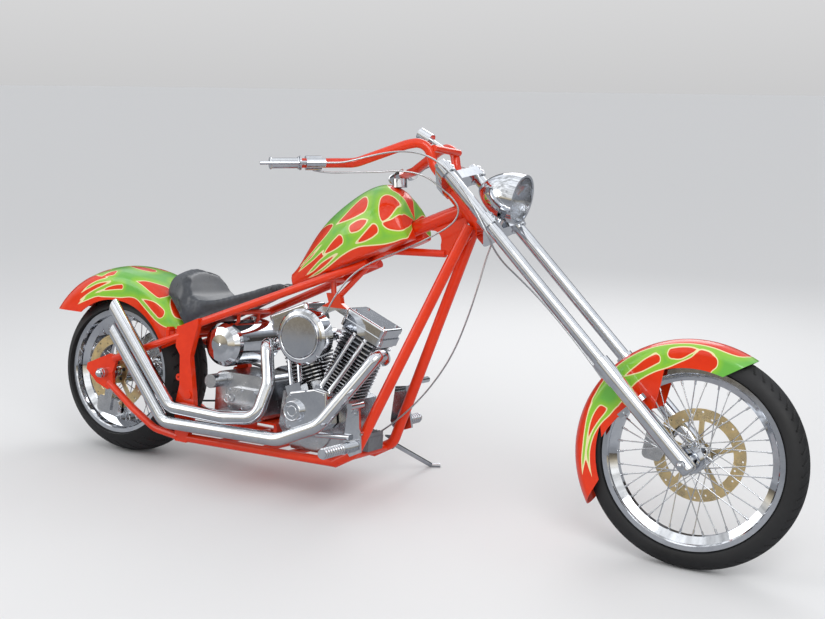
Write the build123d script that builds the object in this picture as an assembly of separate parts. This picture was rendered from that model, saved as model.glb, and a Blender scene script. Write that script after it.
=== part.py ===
from build123d import *
import os
from math import asin, atan2, cos, degrees, pi, radians, sin, sqrt, tan

# Chopper motorcycle in millimetres. Each piece is drawn with the machine upright: x runs
# forward from the rear axle, y to the rider's left and z up from the road. At the end the
# whole machine is leaned onto its side stand, and its origin goes under the middle of its box.

# Stance and wheelbase
WHEELBASE = 2256.0
RAKE = 46.4
FORK_OFFSET = 60.0
LEAN = 7.4
# Gap where a piece runs or rests on another
SEAT_GAP = 0.3
# Gap of a shaft or tube in its clamp
FIT_GAP = 0.1

# Rear wheel
REAR_TYRE_R = 325.4
REAR_SECTION_R = 125.6
REAR_RIM_R = 242.5
REAR_RIM_HALF_W = 103.5
REAR_LIP_W = 34.0
REAR_HUB_R = 30.0
REAR_HUB_HALF_W = 103.5
REAR_BOSS_R = 34.0
REAR_FLANGE_R = 48.0
REAR_FLANGE_Y = 62.0
REAR_SPOKE_RIM_Y = 30.0
REAR_SPOKES_PER_SIDE = 20
REAR_AXLE_R = 12.7
REAR_DISC_R = 146.0
REAR_CALIPER_DEG = 262.0
SPACER_R = 18.0

# Front wheel
FRONT_TYRE_R = 342.8
FRONT_SECTION_R = 45.3
FRONT_RIM_R = 280.5
FRONT_RIM_HALF_W = 37.6
FRONT_LIP_W = 14.0
FRONT_HUB_R = 24.0
FRONT_HUB_HALF_W = 59.5
FRONT_BOSS_R = 36.0
FRONT_FLANGE_R = 44.0
FRONT_FLANGE_Y = 32.0
FRONT_SPOKE_RIM_Y = 8.0
FRONT_SPOKES_PER_SIDE = 20
FRONT_AXLE_R = 10.0
FRONT_DISC_R = 146.0
FRONT_CALIPER_DEG = 172.0
FRONT_SPACER_R = 15.0

# Parts that both wheels share
BEAD_DROP = 14.0
WELL_DROP = 22.0
RIM_T = 5.0
SPOKE_R = 1.8
SPOKE_LAYER = 2.7
SPOKE_SWEEP = 62.0
DISC_T = 5.0
DISC_BAND = 38.0
CALIPER_W = 50.0
DISC_CLEARANCE = 5.0

# Fork
TUBE_HALF_SPACING = 114.0
TUBE_R = 20.5
SLIDER_R = 26.0
SLIDER_TOP = 395.0
SLIDER_BOTTOM = -34.0
LOWER_TREE_W = 975.0
TOP_TREE_W = 1205.0
TREE_T = 34.0
CLAMP_R = 29.0
TREE_HUB_U = 6.0
TREE_HUB_R = 44.0
TUBE_TOP = 1237.0
STEM_R = 12.7
NECK_R = 30.0
BAR_R = 16.0
GRIP_R = 17.5
HOSE_R = 3.0

# Frame tubes
DOWNTUBE_R = 19.0
RAIL_R = 16.0
SEAT_RAIL_R = 15.0
STRUT_R = 14.0
BACKBONE_R = 25.0
LOWER_TUBE_R = 13.0
CROSS_R = 12.0
RAIL_Z = 142.0
RAIL_Y = 132.0
POST_Y = 172.0
POST_T = 24.0
PLATE_T = 14.0

# Engine and drive train
CRANK = Vector(925, 0, 240)
V_HALF_ANGLE = 22.5
FIN_R = 74.0
FIN_T = 4.0
BARREL_BASE = 160.0
BARREL_H = 146.0
HEAD_H = 70.0
ROCKER_H = 66.0
ROCKER_HALF_L = 89.0
ROCKER_HALF_W = 68.0
FIN_COUNT = 11
PUSHROD_R = 9.0
PUSHROD_Y = -133.0
PUSHROD_TOP_Y = -56.0
TAPPET_W = 168.0
HEAD_FIN_COUNT = 4
CASE_HALF_W = 95.0
DRUM_HALF_W = 103.0
DRUM_R = 78.0
CASE_FLOOR_Z = 154.3
CAM_T = 66.0
PRIMARY_IN = 168.0
PRIMARY_OUT = 226.0
DRIVE = Vector(590, 0, 320)
DRIVE_PULLEY_R = 52.0
PULLEY_R = 140.0
BELT_Y = 144.0
BELT_W = 28.0
BELT_T = 5.0
CLEANER = Vector(917, 0, 572)
CLEANER_R = 98.0
CLEANER_IN = -146.0
OIL_TANK = Vector(524, 0, 495)
OIL_TANK_R = 84.0
PIPE_R = 24.0
PIPE_WALL = 2.0
PORT_Y = 32.0
PORT_W = 335.0
PORT_U = 82.0

# Body work
FENDER_CENTRE_Z = 335.0
FENDER_R = 404.0
FENDER_HALF_W = 143.0
FENDER_T = 3.0
FENDER_SKIRT_R = 272.0
FENDER_CORNER = 46.0
FENDER_FROM = 24.0
FENDER_TO = 151.0
FENDER_TAIL_Z = 541.0
FRONT_FENDER_R = 369.0
FRONT_FENDER_HALF_W = 61.0
FRONT_FENDER_T = 2.5
FRONT_FENDER_SKIRT_R = 284.0
FRONT_FENDER_CORNER = 20.0
FRONT_FENDER_FROM = 61.0
FRONT_FENDER_TO = 213.0
# Drop of a fender's crown to its shoulders
CROWN_DROP = 34.0
# Cheek of the front fender, from under its arch down to its lug on the fork leg
CHEEK = [(2160, 630), (2148, 545), (2136, 486), (2108, 468), (2066, 462), (2024, 441), (1996, 404), (1978, 372),
         (1958, 470), (2040, 610)]
TANK_FLOOR = Vector(800, 0, 746)
TANK_PITCH = 23.0
SEAT_RAIL_RISE = 0.433

# Side stand
STAND_PIVOT = Vector(1098, 175, 178)
STAND_FOOT_X = 1138.0
STAND_FOOT_Y = 424.0
STAND_PAD_R = 8.0
STAND_LEG_R = 9.0
STAND_EYE_R = 15.0
STAND_PIN_R = 6.0
STAND_FOLDED = Vector(-0.981, 0.10, -0.165)

SIN_R = sin(radians(RAKE))
COS_R = cos(radians(RAKE))
SIN_L = sin(radians(LEAN))
COS_L = cos(radians(LEAN))
REAR_AXLE = Vector(0, 0, REAR_TYRE_R)
FRONT_AXLE = Vector(WHEELBASE, 0, FRONT_TYRE_R)
# The steering axis passes behind the front axle by the fork's offset.
STEER_FOOT = FRONT_AXLE - Vector(COS_R, 0, SIN_R) * FORK_OFFSET
STEER = Location((STEER_FOOT.X, 0, STEER_FOOT.Z), (0, -RAKE, 0))
STEER_AXIS = Vector(-SIN_R, 0, COS_R)

# A leaned tyre sinks by its section's share of the lean, and the thinner front one by less.
REAR_SINK = REAR_SECTION_R * (1 - COS_L)
FRONT_SINK = FRONT_SECTION_R * (1 - COS_L)
PITCH = asin((REAR_SINK - FRONT_SINK) / WHEELBASE)


def on_fork(u, y, w):
    """A point given ahead of, beside and along the steering axis."""
    return Vector(STEER_FOOT.X + u * COS_R - w * SIN_R, y, STEER_FOOT.Z + u * SIN_R + w * COS_R)


def at_axle(axle, y):
    """The point on an axle's line at this width."""
    return Vector(axle.X, y, axle.Z)


def rod(start, end, radius):
    """A round bar between two points."""
    start, end = Vector(*start), Vector(*end)
    line = end - start
    return Solid.make_cylinder(radius, line.length, Plane(start, z_dir=line))


def bent_tube(points, radii, radius, bore=0.0):
    """A tube along straight runs joined by tangent arcs."""
    points = [Vector(*p) for p in points]
    path = FilletPolyline(*points, radius=radii)
    plane = Plane(points[0], z_dir=points[1] - points[0])
    solid = sweep(plane * Circle(radius), path=path)
    if bore:
        solid = solid - sweep(plane * Circle(bore), path=path)
    return solid


def corner_radii(points):
    """Radius at each corner: 0.45 of the shorter run over the tangent of half the turn."""
    points = [Vector(*p) for p in points]
    radii = []
    for a, b, c in zip(points, points[1:], points[2:]):
        into, out = b - a, c - b
        turn = radians(into.get_angle(out))
        radii.append(0.45 * min(into.length, out.length) / tan(turn / 2))
    return radii


def cord(name, points, radius):
    """A cable laid along its route, whose arcs are as large as its runs allow."""
    radii = corner_radii(points)
    print(name, "arc radii", [round(r) for r in radii])
    return bent_tube(points, radii, radius)


def profile(points, y_from, y_to):
    """A plate or block whose side view is the polygon, between two widths."""
    face = make_face(Polyline(*[(x, z) for x, z in points], close=True))
    plane = Plane((0, y_to, 0), x_dir=(1, 0, 0), z_dir=(0, -1, 0))
    return extrude(plane * face, amount=y_to - y_from)


def spun(section, centre):
    """A ring about a wheel's axle from points of radius and width."""
    face = make_face(Polyline(*section, close=True))
    plane = Plane(centre, x_dir=(0, 0, 1), z_dir=(-1, 0, 0))
    return revolve(plane * face, axis=Axis(centre, (0, 1, 0)))


def round_block(length, width, height, corner):
    """A block with its upright edges rounded."""
    block = Box(length, width, height)
    return fillet(block.edges().filter_by(Axis.Z), corner)


def wheel_rim(centre, flange_r, half_w, lip_w):
    """A drop-centre rim with a flange at each side."""
    bead = flange_r - BEAD_DROP
    well = bead - WELL_DROP
    half = half_w - lip_w
    outer = [(flange_r, half_w), (flange_r, half_w - 4), (bead, half_w - 6), (bead, half), (well, half - 12)]
    inner = [(well - RIM_T, half - 12), (bead - RIM_T, half + 2), (bead - RIM_T, half_w - 4), (bead - 1, half_w)]
    ring = outer + [(r, -y) for r, y in reversed(outer)] + [(r, -y) for r, y in reversed(inner)] + inner
    return spun(ring, centre)


def wheel_tyre(centre, crown_r, section_r, flange_r, half_w):
    """A round-crowned tyre that sits in the rim's flanges."""
    seat = flange_r - BEAD_DROP + FIT_GAP
    edge = half_w - 6
    lip = flange_r + 2
    mid = crown_r - section_r
    side = sqrt(section_r ** 2 - (lip + 4 - mid) ** 2)
    plane = Plane(centre, x_dir=(0, 0, 1), z_dir=(-1, 0, 0))
    edges = [
        Line((seat, -edge), (seat, edge)),
        Line((seat, edge), (lip, edge)),
        Line((lip, edge), (lip + 4, side)),
        ThreePointArc((lip + 4, side), (crown_r, 0), (lip + 4, -side)),
        Line((lip + 4, -side), (lip, -edge)),
        Line((lip, -edge), (seat, -edge)),
    ]
    return revolve(plane * make_face(edges), axis=Axis(centre, (0, 1, 0)))


def wheel_spokes(centre, hub_r, hub_y, rim_r, rim_y, per_side):
    """Crossed spokes, the pulling and pushing ones in layers beside each other."""
    spokes = []
    pitch = 360 / per_side
    for side in (-1, 1):
        for n in range(per_side):
            lead = 1 if n % 2 else -1
            rim_angle = radians(n * pitch + side * pitch / 4)
            hub_angle = rim_angle + lead * radians(SPOKE_SWEEP)
            shift = lead * SPOKE_LAYER
            hub_at = Vector(hub_r * cos(hub_angle), side * hub_y + shift, hub_r * sin(hub_angle))
            rim_at = Vector(rim_r * cos(rim_angle), side * rim_y + shift, rim_r * sin(rim_angle))
            spokes.append(rod(centre + hub_at, centre + rim_at, SPOKE_R))
    return spokes


def wheel_hub(centre, hub_r, flange_r, flange_y, boss_r, half_w, axle_r):
    """A hub barrel with two spoke flanges and a bore that runs on the axle."""
    bore = axle_r + SEAT_GAP
    outer = [(bore, half_w), (boss_r, half_w), (boss_r, flange_y + 5), (flange_r, flange_y + 5),
             (flange_r, flange_y - 5), (hub_r, flange_y - 9)]
    return spun(outer + [(r, -y) for r, y in reversed(outer)], centre)


def front_wheel_hub():
    """The front hub with its laced spokes, which end at the rim's well."""
    hub = wheel_hub(FRONT_AXLE, FRONT_HUB_R, FRONT_FLANGE_R, FRONT_FLANGE_Y, FRONT_BOSS_R, FRONT_HUB_HALF_W,
                    FRONT_AXLE_R)
    well = FRONT_RIM_R - BEAD_DROP - WELL_DROP - RIM_T
    spokes = wheel_spokes(FRONT_AXLE, FRONT_FLANGE_R - 3, FRONT_FLANGE_Y, well - 0.8, FRONT_SPOKE_RIM_Y,
                          FRONT_SPOKES_PER_SIDE)
    return hub.fuse(*spokes)


def rear_wheel_hub():
    """The rear hub with its laced spokes."""
    hub = wheel_hub(REAR_AXLE, REAR_HUB_R, REAR_FLANGE_R, REAR_FLANGE_Y, REAR_BOSS_R, REAR_HUB_HALF_W,
                    REAR_AXLE_R)
    well = REAR_RIM_R - BEAD_DROP - WELL_DROP - RIM_T
    spokes = wheel_spokes(REAR_AXLE, REAR_FLANGE_R - 3, REAR_FLANGE_Y, well - 0.8, REAR_SPOKE_RIM_Y,
                          REAR_SPOKES_PER_SIDE)
    return hub.fuse(*spokes)


def brake_disc(centre, y_in, y_out, radius, inner_r):
    """A drilled disc on a five-armed carrier that meets the hub's end."""
    band_r = radius - DISC_BAND
    carrier_r = inner_r + 24
    ring = spun([(band_r, y_in), (radius, y_in), (radius, y_out), (band_r, y_out)], centre)
    carrier = spun([(inner_r, y_in), (carrier_r, y_in), (carrier_r, y_out), (inner_r, y_out)], centre)
    y_mid = (y_in + y_out) / 2
    arms = []
    for n in range(5):
        angle = radians(72 * n + 18)
        at = centre + Vector(cos(angle), 0, sin(angle)) * ((band_r + carrier_r) / 2) + Vector(0, y_mid, 0)
        arm = Box(band_r - carrier_r + 24, DISC_T, 16)
        arms.append(Location((at.X, at.Y, at.Z), (0, -degrees(angle), 0)) * arm)
    holes = []
    for n in range(24):
        angle = radians(15 * n)
        r = radius - 10 - 9 * (n % 3)
        at = centre + Vector(r * cos(angle), y_mid - DISC_T, r * sin(angle))
        holes.append(rod(at, at + Vector(0, 2 * DISC_T, 0), 3.5))
    return ring.fuse(carrier, *arms).cut(*holes)


def front_disc():
    return brake_disc(FRONT_AXLE, FRONT_HUB_HALF_W, FRONT_HUB_HALF_W + DISC_T, FRONT_DISC_R, 20)


def rear_disc():
    return brake_disc(REAR_AXLE, -REAR_HUB_HALF_W - DISC_T, -REAR_HUB_HALF_W, REAR_DISC_R, 24)


def rear_axle():
    """Axle with a spacer on each side of the hub and a nut on each axle plate."""
    inner, outer = POST_Y - PLATE_T / 2, POST_Y + PLATE_T / 2
    reach = outer + 24
    shaft = rod(at_axle(REAR_AXLE, -reach), at_axle(REAR_AXLE, reach), REAR_AXLE_R)
    nuts = [rod(at_axle(REAR_AXLE, s * outer), at_axle(REAR_AXLE, s * (outer + 18)), 19) for s in (-1, 1)]
    start = REAR_HUB_HALF_W + SEAT_GAP
    right = rod(at_axle(REAR_AXLE, -start), at_axle(REAR_AXLE, -inner), SPACER_R)
    pulley_out = BELT_Y + BELT_W / 2
    left = rod(at_axle(REAR_AXLE, pulley_out + 5), at_axle(REAR_AXLE, inner), SPACER_R)
    return shaft.fuse(*nuts, right, left)


# The rear end of the backbone and the tube that drops from it to the seat rails.
BACKBONE_REAR = Vector(905, 0, 838)
RAIL_TIE = Vector(1056, 0, 834.8)
REAR_TIE = Vector(905, 0, 769)


def neck():
    """Steering head with the backbone, its gusset and the lower top tube."""
    half_tree = TREE_T / 2 + SEAT_GAP
    low, high = on_fork(0, 0, LOWER_TREE_W + half_tree), on_fork(0, 0, TOP_TREE_W - half_tree)
    head = rod(low, high, NECK_R)
    rings = [rod(low, on_fork(0, 0, LOWER_TREE_W + half_tree + 16), NECK_R + 5),
             rod(on_fork(0, 0, TOP_TREE_W - half_tree - 16), high, NECK_R + 5)]
    backbone = rod(on_fork(-10, 0, 1100), BACKBONE_REAR, BACKBONE_R)
    cap = Pos(BACKBONE_REAR.X, BACKBONE_REAR.Y, BACKBONE_REAR.Z) * Sphere(BACKBONE_R)
    drop = rod(BACKBONE_REAR, REAR_TIE + Vector(0, 0, 6), LOWER_TUBE_R)
    end = RAIL_TIE + Vector(7.8, 0, 7.8)
    lower = bent_tube([(1350, 0, 897), (1110, 0, 889), end], [40], LOWER_TUBE_R)
    gusset = profile([(1225, 985), (1400, 1058), (1445, 960), (1385, 893), (1335, 893), (1330, 930), (1290, 975)],
                     -4, 4)
    scallop = rod((1298, -6, 938), (1298, 6, 938), 34)
    solid = head.fuse(*rings, backbone, cap, drop, lower, gusset - scallop)
    return solid - rod(on_fork(0, 0, LOWER_TREE_W), on_fork(0, 0, TOP_TREE_W), STEM_R + SEAT_GAP)


DOWN_TOP = Vector(1443, 25.5, 1000)
DOWN_KNEE = Vector(1128, RAIL_Y, 190)


def downtubes():
    """Two front tubes that spread from the steering head and turn back along the floor."""
    tubes = []
    for side in (-1, 1):
        points = [(DOWN_TOP.X, side * DOWN_TOP.Y, DOWN_TOP.Z), (DOWN_KNEE.X, side * DOWN_KNEE.Y, DOWN_KNEE.Z),
                  (1045, side * RAIL_Y, RAIL_Z)]
        tubes.append(bent_tube(points, [55], DOWNTUBE_R))
    return tubes


def bottom_rails():
    return [rod((1046, side * RAIL_Y, RAIL_Z), (425, side * (POST_Y - 2), 134.5), RAIL_R) for side in (-1, 1)]


def rear_posts():
    """Formed uprights behind the gearbox, with the pivot cap."""
    posts = []
    outline = [(350, 545), (350, 470), (372, 440), (378, 330), (362, 250), (371, 118), (425, 118), (452, 250),
               (446, 300), (420, 440), (448, 560), (448, 585), (372, 552)]
    for side in (-1, 1):
        y_mid = side * POST_Y
        plate = profile(outline, y_mid - POST_T / 2, y_mid + POST_T / 2)
        cap = rod((422, y_mid, 297), (422, y_mid + side * (POST_T / 2 + 5), 297), 16)
        lug = rod((366, y_mid - 5, 356), (366, y_mid + 5, 356), 13) - rod((364, y_mid - 6, 356), (364, y_mid + 6, 356), 5)
        posts.append(plate.fuse(cap, lug))
    return posts


def seat_rail_z(x):
    """Height of the seat rails' centre line at a place along the machine."""
    return 572 + SEAT_RAIL_RISE * (x - 449)


def seat_rail_y(x):
    """Distance of the seat rails' centre line from the middle."""
    return 165 - (x - 400) / (1068 - 400) * (165 - 46)


def seat_rails():
    """Rails under the seat and tank, from the uprights to the lower top tube."""
    rails = []
    for side in (-1, 1):
        ends = [(x, side * seat_rail_y(x), seat_rail_z(x)) for x in (400, 1068)]
        rails.append(rod(ends[0], ends[1], SEAT_RAIL_R))
    return rails


FENDER_TUBE_DEG = 26.5
OIL_TIE_X = 540.0


def cross_tubes():
    """Tubes between the two sides: x, z, half width, radius. Then the gearbox plate on two of them."""
    tie_z = seat_rail_z(OIL_TIE_X)
    at_fender = FENDER_R + SEAT_GAP + 10
    fender_x = at_fender * cos(radians(FENDER_TUBE_DEG))
    fender_z = FENDER_CENTRE_Z + at_fender * sin(radians(FENDER_TUBE_DEG))
    rows = [
        (1100, 168, 128, CROSS_R),
        (1000, 142, 136, CROSS_R),
        (855, 142, 144, CROSS_R),
        (735, 138, 150, CROSS_R),
        (560, 138, 160, CROSS_R),
        (fender_x, fender_z, POST_Y - POST_T / 2, 10),
        (OIL_TIE_X, tie_z, seat_rail_y(OIL_TIE_X), 10),
        (REAR_TIE.X, REAR_TIE.Z, seat_rail_y(REAR_TIE.X), CROSS_R),
        (RAIL_TIE.X, RAIL_TIE.Z, seat_rail_y(RAIL_TIE.X), CROSS_R),
    ]
    tubes = [rod((x, -half, z), (x, half, z), r) for x, z, half, r in rows]
    floor = profile([(548, 216), (746, 216), (746, 223.7), (548, 223.7)], -70, 70)
    legs = [Pos(x, 0, 178) * Box(14, 120, 80) for x in (735, 560)]
    gearbox_mount = floor.fuse(*legs, tubes[3], tubes[4])
    hangers = [rod((OIL_TIE_X, y, tie_z), (OIL_TIE_X - 5, y, OIL_TANK.Z + 60), 7) for y in (-60, 60)]
    oil_mount = tubes[6].fuse(*hangers)
    return [*tubes[:3], gearbox_mount, tubes[5], oil_mount, *tubes[7:]]


def mount_stays():
    """Stays to the engine's top mount, whose two ears meet the rocker boxes."""
    stay = rod((1062, 0, 845), (925, 0, 698), 10)
    short = rod((905, 0, 765), (914, 0, 700), 10)
    ears = profile([(886, 718), (944, 718), (952, 686), (1004, 652), (1000, 628), (925, 662), (850, 628),
                    (846, 652), (898, 686)], -12, 12)
    return stay.fuse(short, ears)


def rear_struts():
    """Upper and lower struts from the uprights to the axle plates, with the fender's standoffs."""
    struts = []
    slope = (507 - 384) / (349 - 40)
    for side in (-1, 1):
        y = side * POST_Y
        upper = rod((362, y, 507 + 13 * slope), (40, y, 384), STRUT_R)
        lower = bent_tube([(378, y, 133), (262, y, 146), (150, y, 205), (18, y, 290)], [120, 160], STRUT_R)
        outline = [(-96, 329), (-92, 352), (22, 402), (62, 398), (40, 330), (46, 282), (18, 262), (-40, 282)]
        plate = profile(outline, y - PLATE_T / 2, y + PLATE_T / 2)
        standoff = rod((298, side * FENDER_HALF_W, 528), (298, y, 528), 9)
        stem = rod((298, y, 528), (298, y, 486), 9)
        hole = rod((0, y - 20, REAR_TYRE_R), (0, y + 20, REAR_TYRE_R), REAR_AXLE_R + FIT_GAP)
        struts.append(upper.fuse(lower, plate, standoff, stem) - hole)
    return struts


def fender_outline(crown_r, skirt_r, shoulder, half_w, corner):
    """Section in radius and width: a crowned top with rounded shoulders over straight skirts."""
    face = make_face([
        Line((skirt_r, half_w), (shoulder, half_w)),
        ThreePointArc((shoulder, half_w), (crown_r, 0), (shoulder, -half_w)),
        Line((shoulder, -half_w), (skirt_r, -half_w)),
        Line((skirt_r, -half_w), (skirt_r, half_w)),
    ])
    return fillet([v for v in face.vertices() if v.X > shoulder - 1], corner)


def fender(centre, crown_r, skirt_r, half_w, thick, corner, from_deg, to_deg):
    """An arched fender of even wall between two angles measured up from straight ahead."""
    shoulder = crown_r - CROWN_DROP
    outer = fender_outline(crown_r, skirt_r, shoulder, half_w, corner)
    inner = fender_outline(crown_r - thick, skirt_r - 5, shoulder - 1, half_w - thick, corner - thick)
    a = radians(from_deg)
    plane = Plane(centre, x_dir=(cos(a), 0, sin(a)), z_dir=(sin(a), 0, -cos(a)))
    return revolve(plane * (outer - inner), axis=Axis(centre, (0, -1, 0)), revolution_arc=to_deg - from_deg)


def end_slant(centre, crown_r, skirt_r, crown_deg, skirt_deg):
    """Wedge that cuts a fender's end back from its crown to its skirts."""
    beyond = crown_deg + (6 if crown_deg > skirt_deg else -6)
    spots = [(crown_r + 6, crown_deg), (skirt_r - 6, skirt_deg), (skirt_r - 6, beyond)]
    return profile([(centre.X + r * cos(radians(d)), centre.Z + r * sin(radians(d))) for r, d in spots], -200, 200)


def rear_fender():
    """Wide rear fender with its tail cut level."""
    centre = Vector(0, 0, FENDER_CENTRE_Z)
    solid = fender(centre, FENDER_R, FENDER_SKIRT_R, FENDER_HALF_W, FENDER_T, FENDER_CORNER, FENDER_FROM, FENDER_TO)
    below = Pos(-330, 0, FENDER_TAIL_Z - 111) * Box(400, 320, 222)
    return solid - below


def front_fender():
    """Narrow front fender with slanted ends, and a cheek that drops to each fork leg's lug."""
    centre = Vector(WHEELBASE - 10, 0, FRONT_TYRE_R - 4)
    arch = fender(centre, FRONT_FENDER_R, FRONT_FENDER_SKIRT_R, FRONT_FENDER_HALF_W, FRONT_FENDER_T,
                  FRONT_FENDER_CORNER, FRONT_FENDER_FROM, FRONT_FENDER_TO)
    ends = [end_slant(centre, FRONT_FENDER_R, FRONT_FENDER_SKIRT_R, crown, skirt)
            for crown, skirt in ((FRONT_FENDER_FROM, FRONT_FENDER_FROM + 12), (FRONT_FENDER_TO, FRONT_FENDER_TO - 13))]
    inner = FRONT_FENDER_HALF_W - FRONT_FENDER_T
    left = profile(CHEEK, inner, FRONT_FENDER_HALF_W)
    right = profile(CHEEK, -FRONT_FENDER_HALF_W, -inner)
    return arch.cut(*ends).fuse(left, right)


def tank():
    """Stretched tank, drawn along its own sloping floor and tunnelled for the backbone."""
    lean = radians(TANK_PITCH)
    base = Plane(TANK_FLOOR, x_dir=(0, 1, 0), z_dir=(cos(lean), 0, sin(lean)))
    # Along the floor, floor half width, greatest half width and its height, shoulder, and top.
    stations = [
        (-62, 16, 20, 28, 10, 46, 52),
        (60, 48, 60, 58, 30, 110, 125),
        (200, 84, 104, 84, 58, 170, 196),
        (345, 104, 126, 100, 74, 200, 229),
        (436, 104, 122, 96, 70, 192, 220),
        (488, 82, 96, 80, 48, 132, 152),
    ]
    sections = []
    for along, floor_w, side_w, side_h, top_w, top_h, crown in stations:
        edges = [
            Line((-floor_w, 0), (floor_w, 0)),
            ThreePointArc((floor_w, 0), (side_w, side_h), (top_w, top_h)),
            ThreePointArc((top_w, top_h), (0, crown), (-top_w, top_h)),
            ThreePointArc((-top_w, top_h), (-side_w, side_h), (-floor_w, 0)),
        ]
        sections.append(base.offset(along) * make_face(edges))
    body = loft(sections)
    front, rise = on_fork(-10, 0, 1100), (on_fork(-10, 0, 1100) - BACKBONE_REAR)
    back = BACKBONE_REAR - rise.normalized() * (BACKBONE_R + 3)
    room = BACKBONE_R + SEAT_GAP
    tunnel = rod(back, front, room)
    slot = profile([(back.X, 700), (back.X, back.Z), (front.X, front.Z), (front.X, 880)], -room, room)
    return body - tunnel - slot


def gas_cap():
    return Pos(1150, 0, 1126) * Rot(0, -6, 0) * Cylinder(26, 30)


def seat():
    """Solo saddle with a kicked-up back on the fender and a narrow nose, as one closed pad."""
    over_rail = SEAT_RAIL_R / cos(atan2(SEAT_RAIL_RISE, 1)) + 0.4
    seat_r = FENDER_R + SEAT_GAP
    nose_x, tail_x = 735, 232
    front_low = (nose_x, seat_rail_z(nose_x) + over_rail)
    # Where the line over the rails meets the circle over the fender.
    drop = seat_rail_z(0) + over_rail - FENDER_CENTRE_Z
    square = 1 + SEAT_RAIL_RISE ** 2
    half = SEAT_RAIL_RISE * drop
    meet_x = (-half + sqrt(half ** 2 - square * (drop ** 2 - seat_r ** 2))) / square
    meet = (meet_x, seat_rail_z(meet_x) + over_rail)
    arc_mid = (seat_r * cos(radians(44)), FENDER_CENTRE_Z + seat_r * sin(radians(44)))
    tail = (tail_x, FENDER_CENTRE_Z + sqrt(seat_r ** 2 - tail_x ** 2))
    top = [tail, (234, 700), (252, 738), (284, 758), (312, 744), (334, 698), (356, 656), (396, 632), (456, 636),
           (560, 676), (720, 740), front_low]
    edges = [Line(a, b) for a, b in zip(top, top[1:])]
    edges += [Line(front_low, meet), ThreePointArc(meet, arc_mid, tail)]
    plane = Plane((0, 160, 0), x_dir=(1, 0, 0), z_dir=(0, -1, 0))
    block = extrude(plane * make_face(edges), amount=320)
    right = [(220, -96), (246, -132), (320, -147), (420, -136), (620, -74), (740, -34)]
    plan = make_face(Polyline(*right, *[(x, -y) for x, y in reversed(right)], close=True))
    return block & extrude(Plane.XY.offset(500) * plan, amount=300)


def cylinder_place(lean):
    """Places what is drawn up a cylinder's axis; lean is 1 for the front one and -1 for the rear."""
    return Location((CRANK.X, CRANK.Y, CRANK.Z), (0, lean * V_HALF_ANGLE, 0))


HEAD_TOP = BARREL_BASE + BARREL_H + HEAD_H


def pushrod_bars(lean, radius):
    """Bars up one cylinder from its tappet block into its rocker box, drawn up the cylinder's axis."""
    bars = []
    for foot, head in ((-20, -19), (18, 30)):
        start, end = (lean * foot, PUSHROD_Y, TAPPET_W - 8), (lean * head, PUSHROD_TOP_Y, HEAD_TOP + 6)
        bars.append(rod(start, end, radius))
    return bars


def barrel(lean):
    """One finned barrel and its head, with the exhaust port's stub."""
    solids = [Pos(0, 0, BARREL_BASE + BARREL_H / 2) * Cylinder(FIN_R - 22, BARREL_H)]
    pitch = BARREL_H / FIN_COUNT
    for n in range(FIN_COUNT):
        fin = round_block(2 * FIN_R, 2 * FIN_R, FIN_T, 34)
        solids.append(Pos(0, 0, BARREL_BASE + pitch * (n + 0.5)) * fin)
    top = BARREL_BASE + BARREL_H
    solids.append(Pos(0, 0, top + HEAD_H / 2) * Box(2 * FIN_R - 44, 2 * FIN_R - 30, HEAD_H))
    for n in range(HEAD_FIN_COUNT):
        fin = round_block(2 * FIN_R + 8, 2 * FIN_R, FIN_T + 1, 22)
        solids.append(Pos(0, 0, top + HEAD_H * (n + 0.5) / HEAD_FIN_COUNT) * fin)
    solids.append(rod((lean * 40, -PORT_Y, PORT_W), (lean * PORT_U, -PORT_Y, PORT_W), PIPE_R + 5))
    finned = solids[0].fuse(*solids[1:]).cut(*pushrod_bars(lean, PUSHROD_R + SEAT_GAP))
    placed = cylinder_place(lean) * finned
    own_half = Pos(CRANK.X + lean * 301, 0, 500) * Box(600, 400, 800)
    return placed & own_half


def cylinders():
    return [barrel(1), barrel(-1)]


def rocker_box(lean):
    """Chrome box on the head, with a stepped lid."""
    long, wide = 2 * ROCKER_HALF_L, 2 * ROCKER_HALF_W
    low = Pos(0, 0, HEAD_TOP + 14) * round_block(long, wide, 28, 14)
    mid = Pos(0, 0, HEAD_TOP + 37) * round_block(long - 10, wide - 10, 18, 12)
    lid = Pos(0, 0, HEAD_TOP + ROCKER_H - 10) * round_block(long - 4, wide - 4, 20, 14)
    lid = fillet(lid.faces().sort_by(Axis.Z)[-1].edges(), 8)
    return cylinder_place(lean) * low.fuse(mid, lid)


def rocker_boxes():
    return [rocker_box(1), rocker_box(-1)]


def crankcase():
    """Cases with the two barrel decks above the round crank chamber."""
    s, c = sin(radians(V_HALF_ANGLE)), cos(radians(V_HALF_ANGLE))
    centre = (CRANK.X + BARREL_BASE * s, CRANK.Z + BARREL_BASE * c)
    far = (centre[0] + 84 * c, centre[1] - 84 * s)
    peak = (CRANK.X, CRANK.Z + BARREL_BASE / c)
    outline = [peak, far, (CRANK.X + 128, 250), (CRANK.X + 90, CASE_FLOOR_Z), (CRANK.X - 90, CASE_FLOOR_Z),
               (CRANK.X - 150, 230), (2 * CRANK.X - far[0], far[1])]
    block = profile(outline, -CASE_HALF_W, CASE_HALF_W)
    drum = rod(at_axle(CRANK, -DRUM_HALF_W), at_axle(CRANK, DRUM_HALF_W), DRUM_R)
    return block.fuse(drum)


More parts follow.
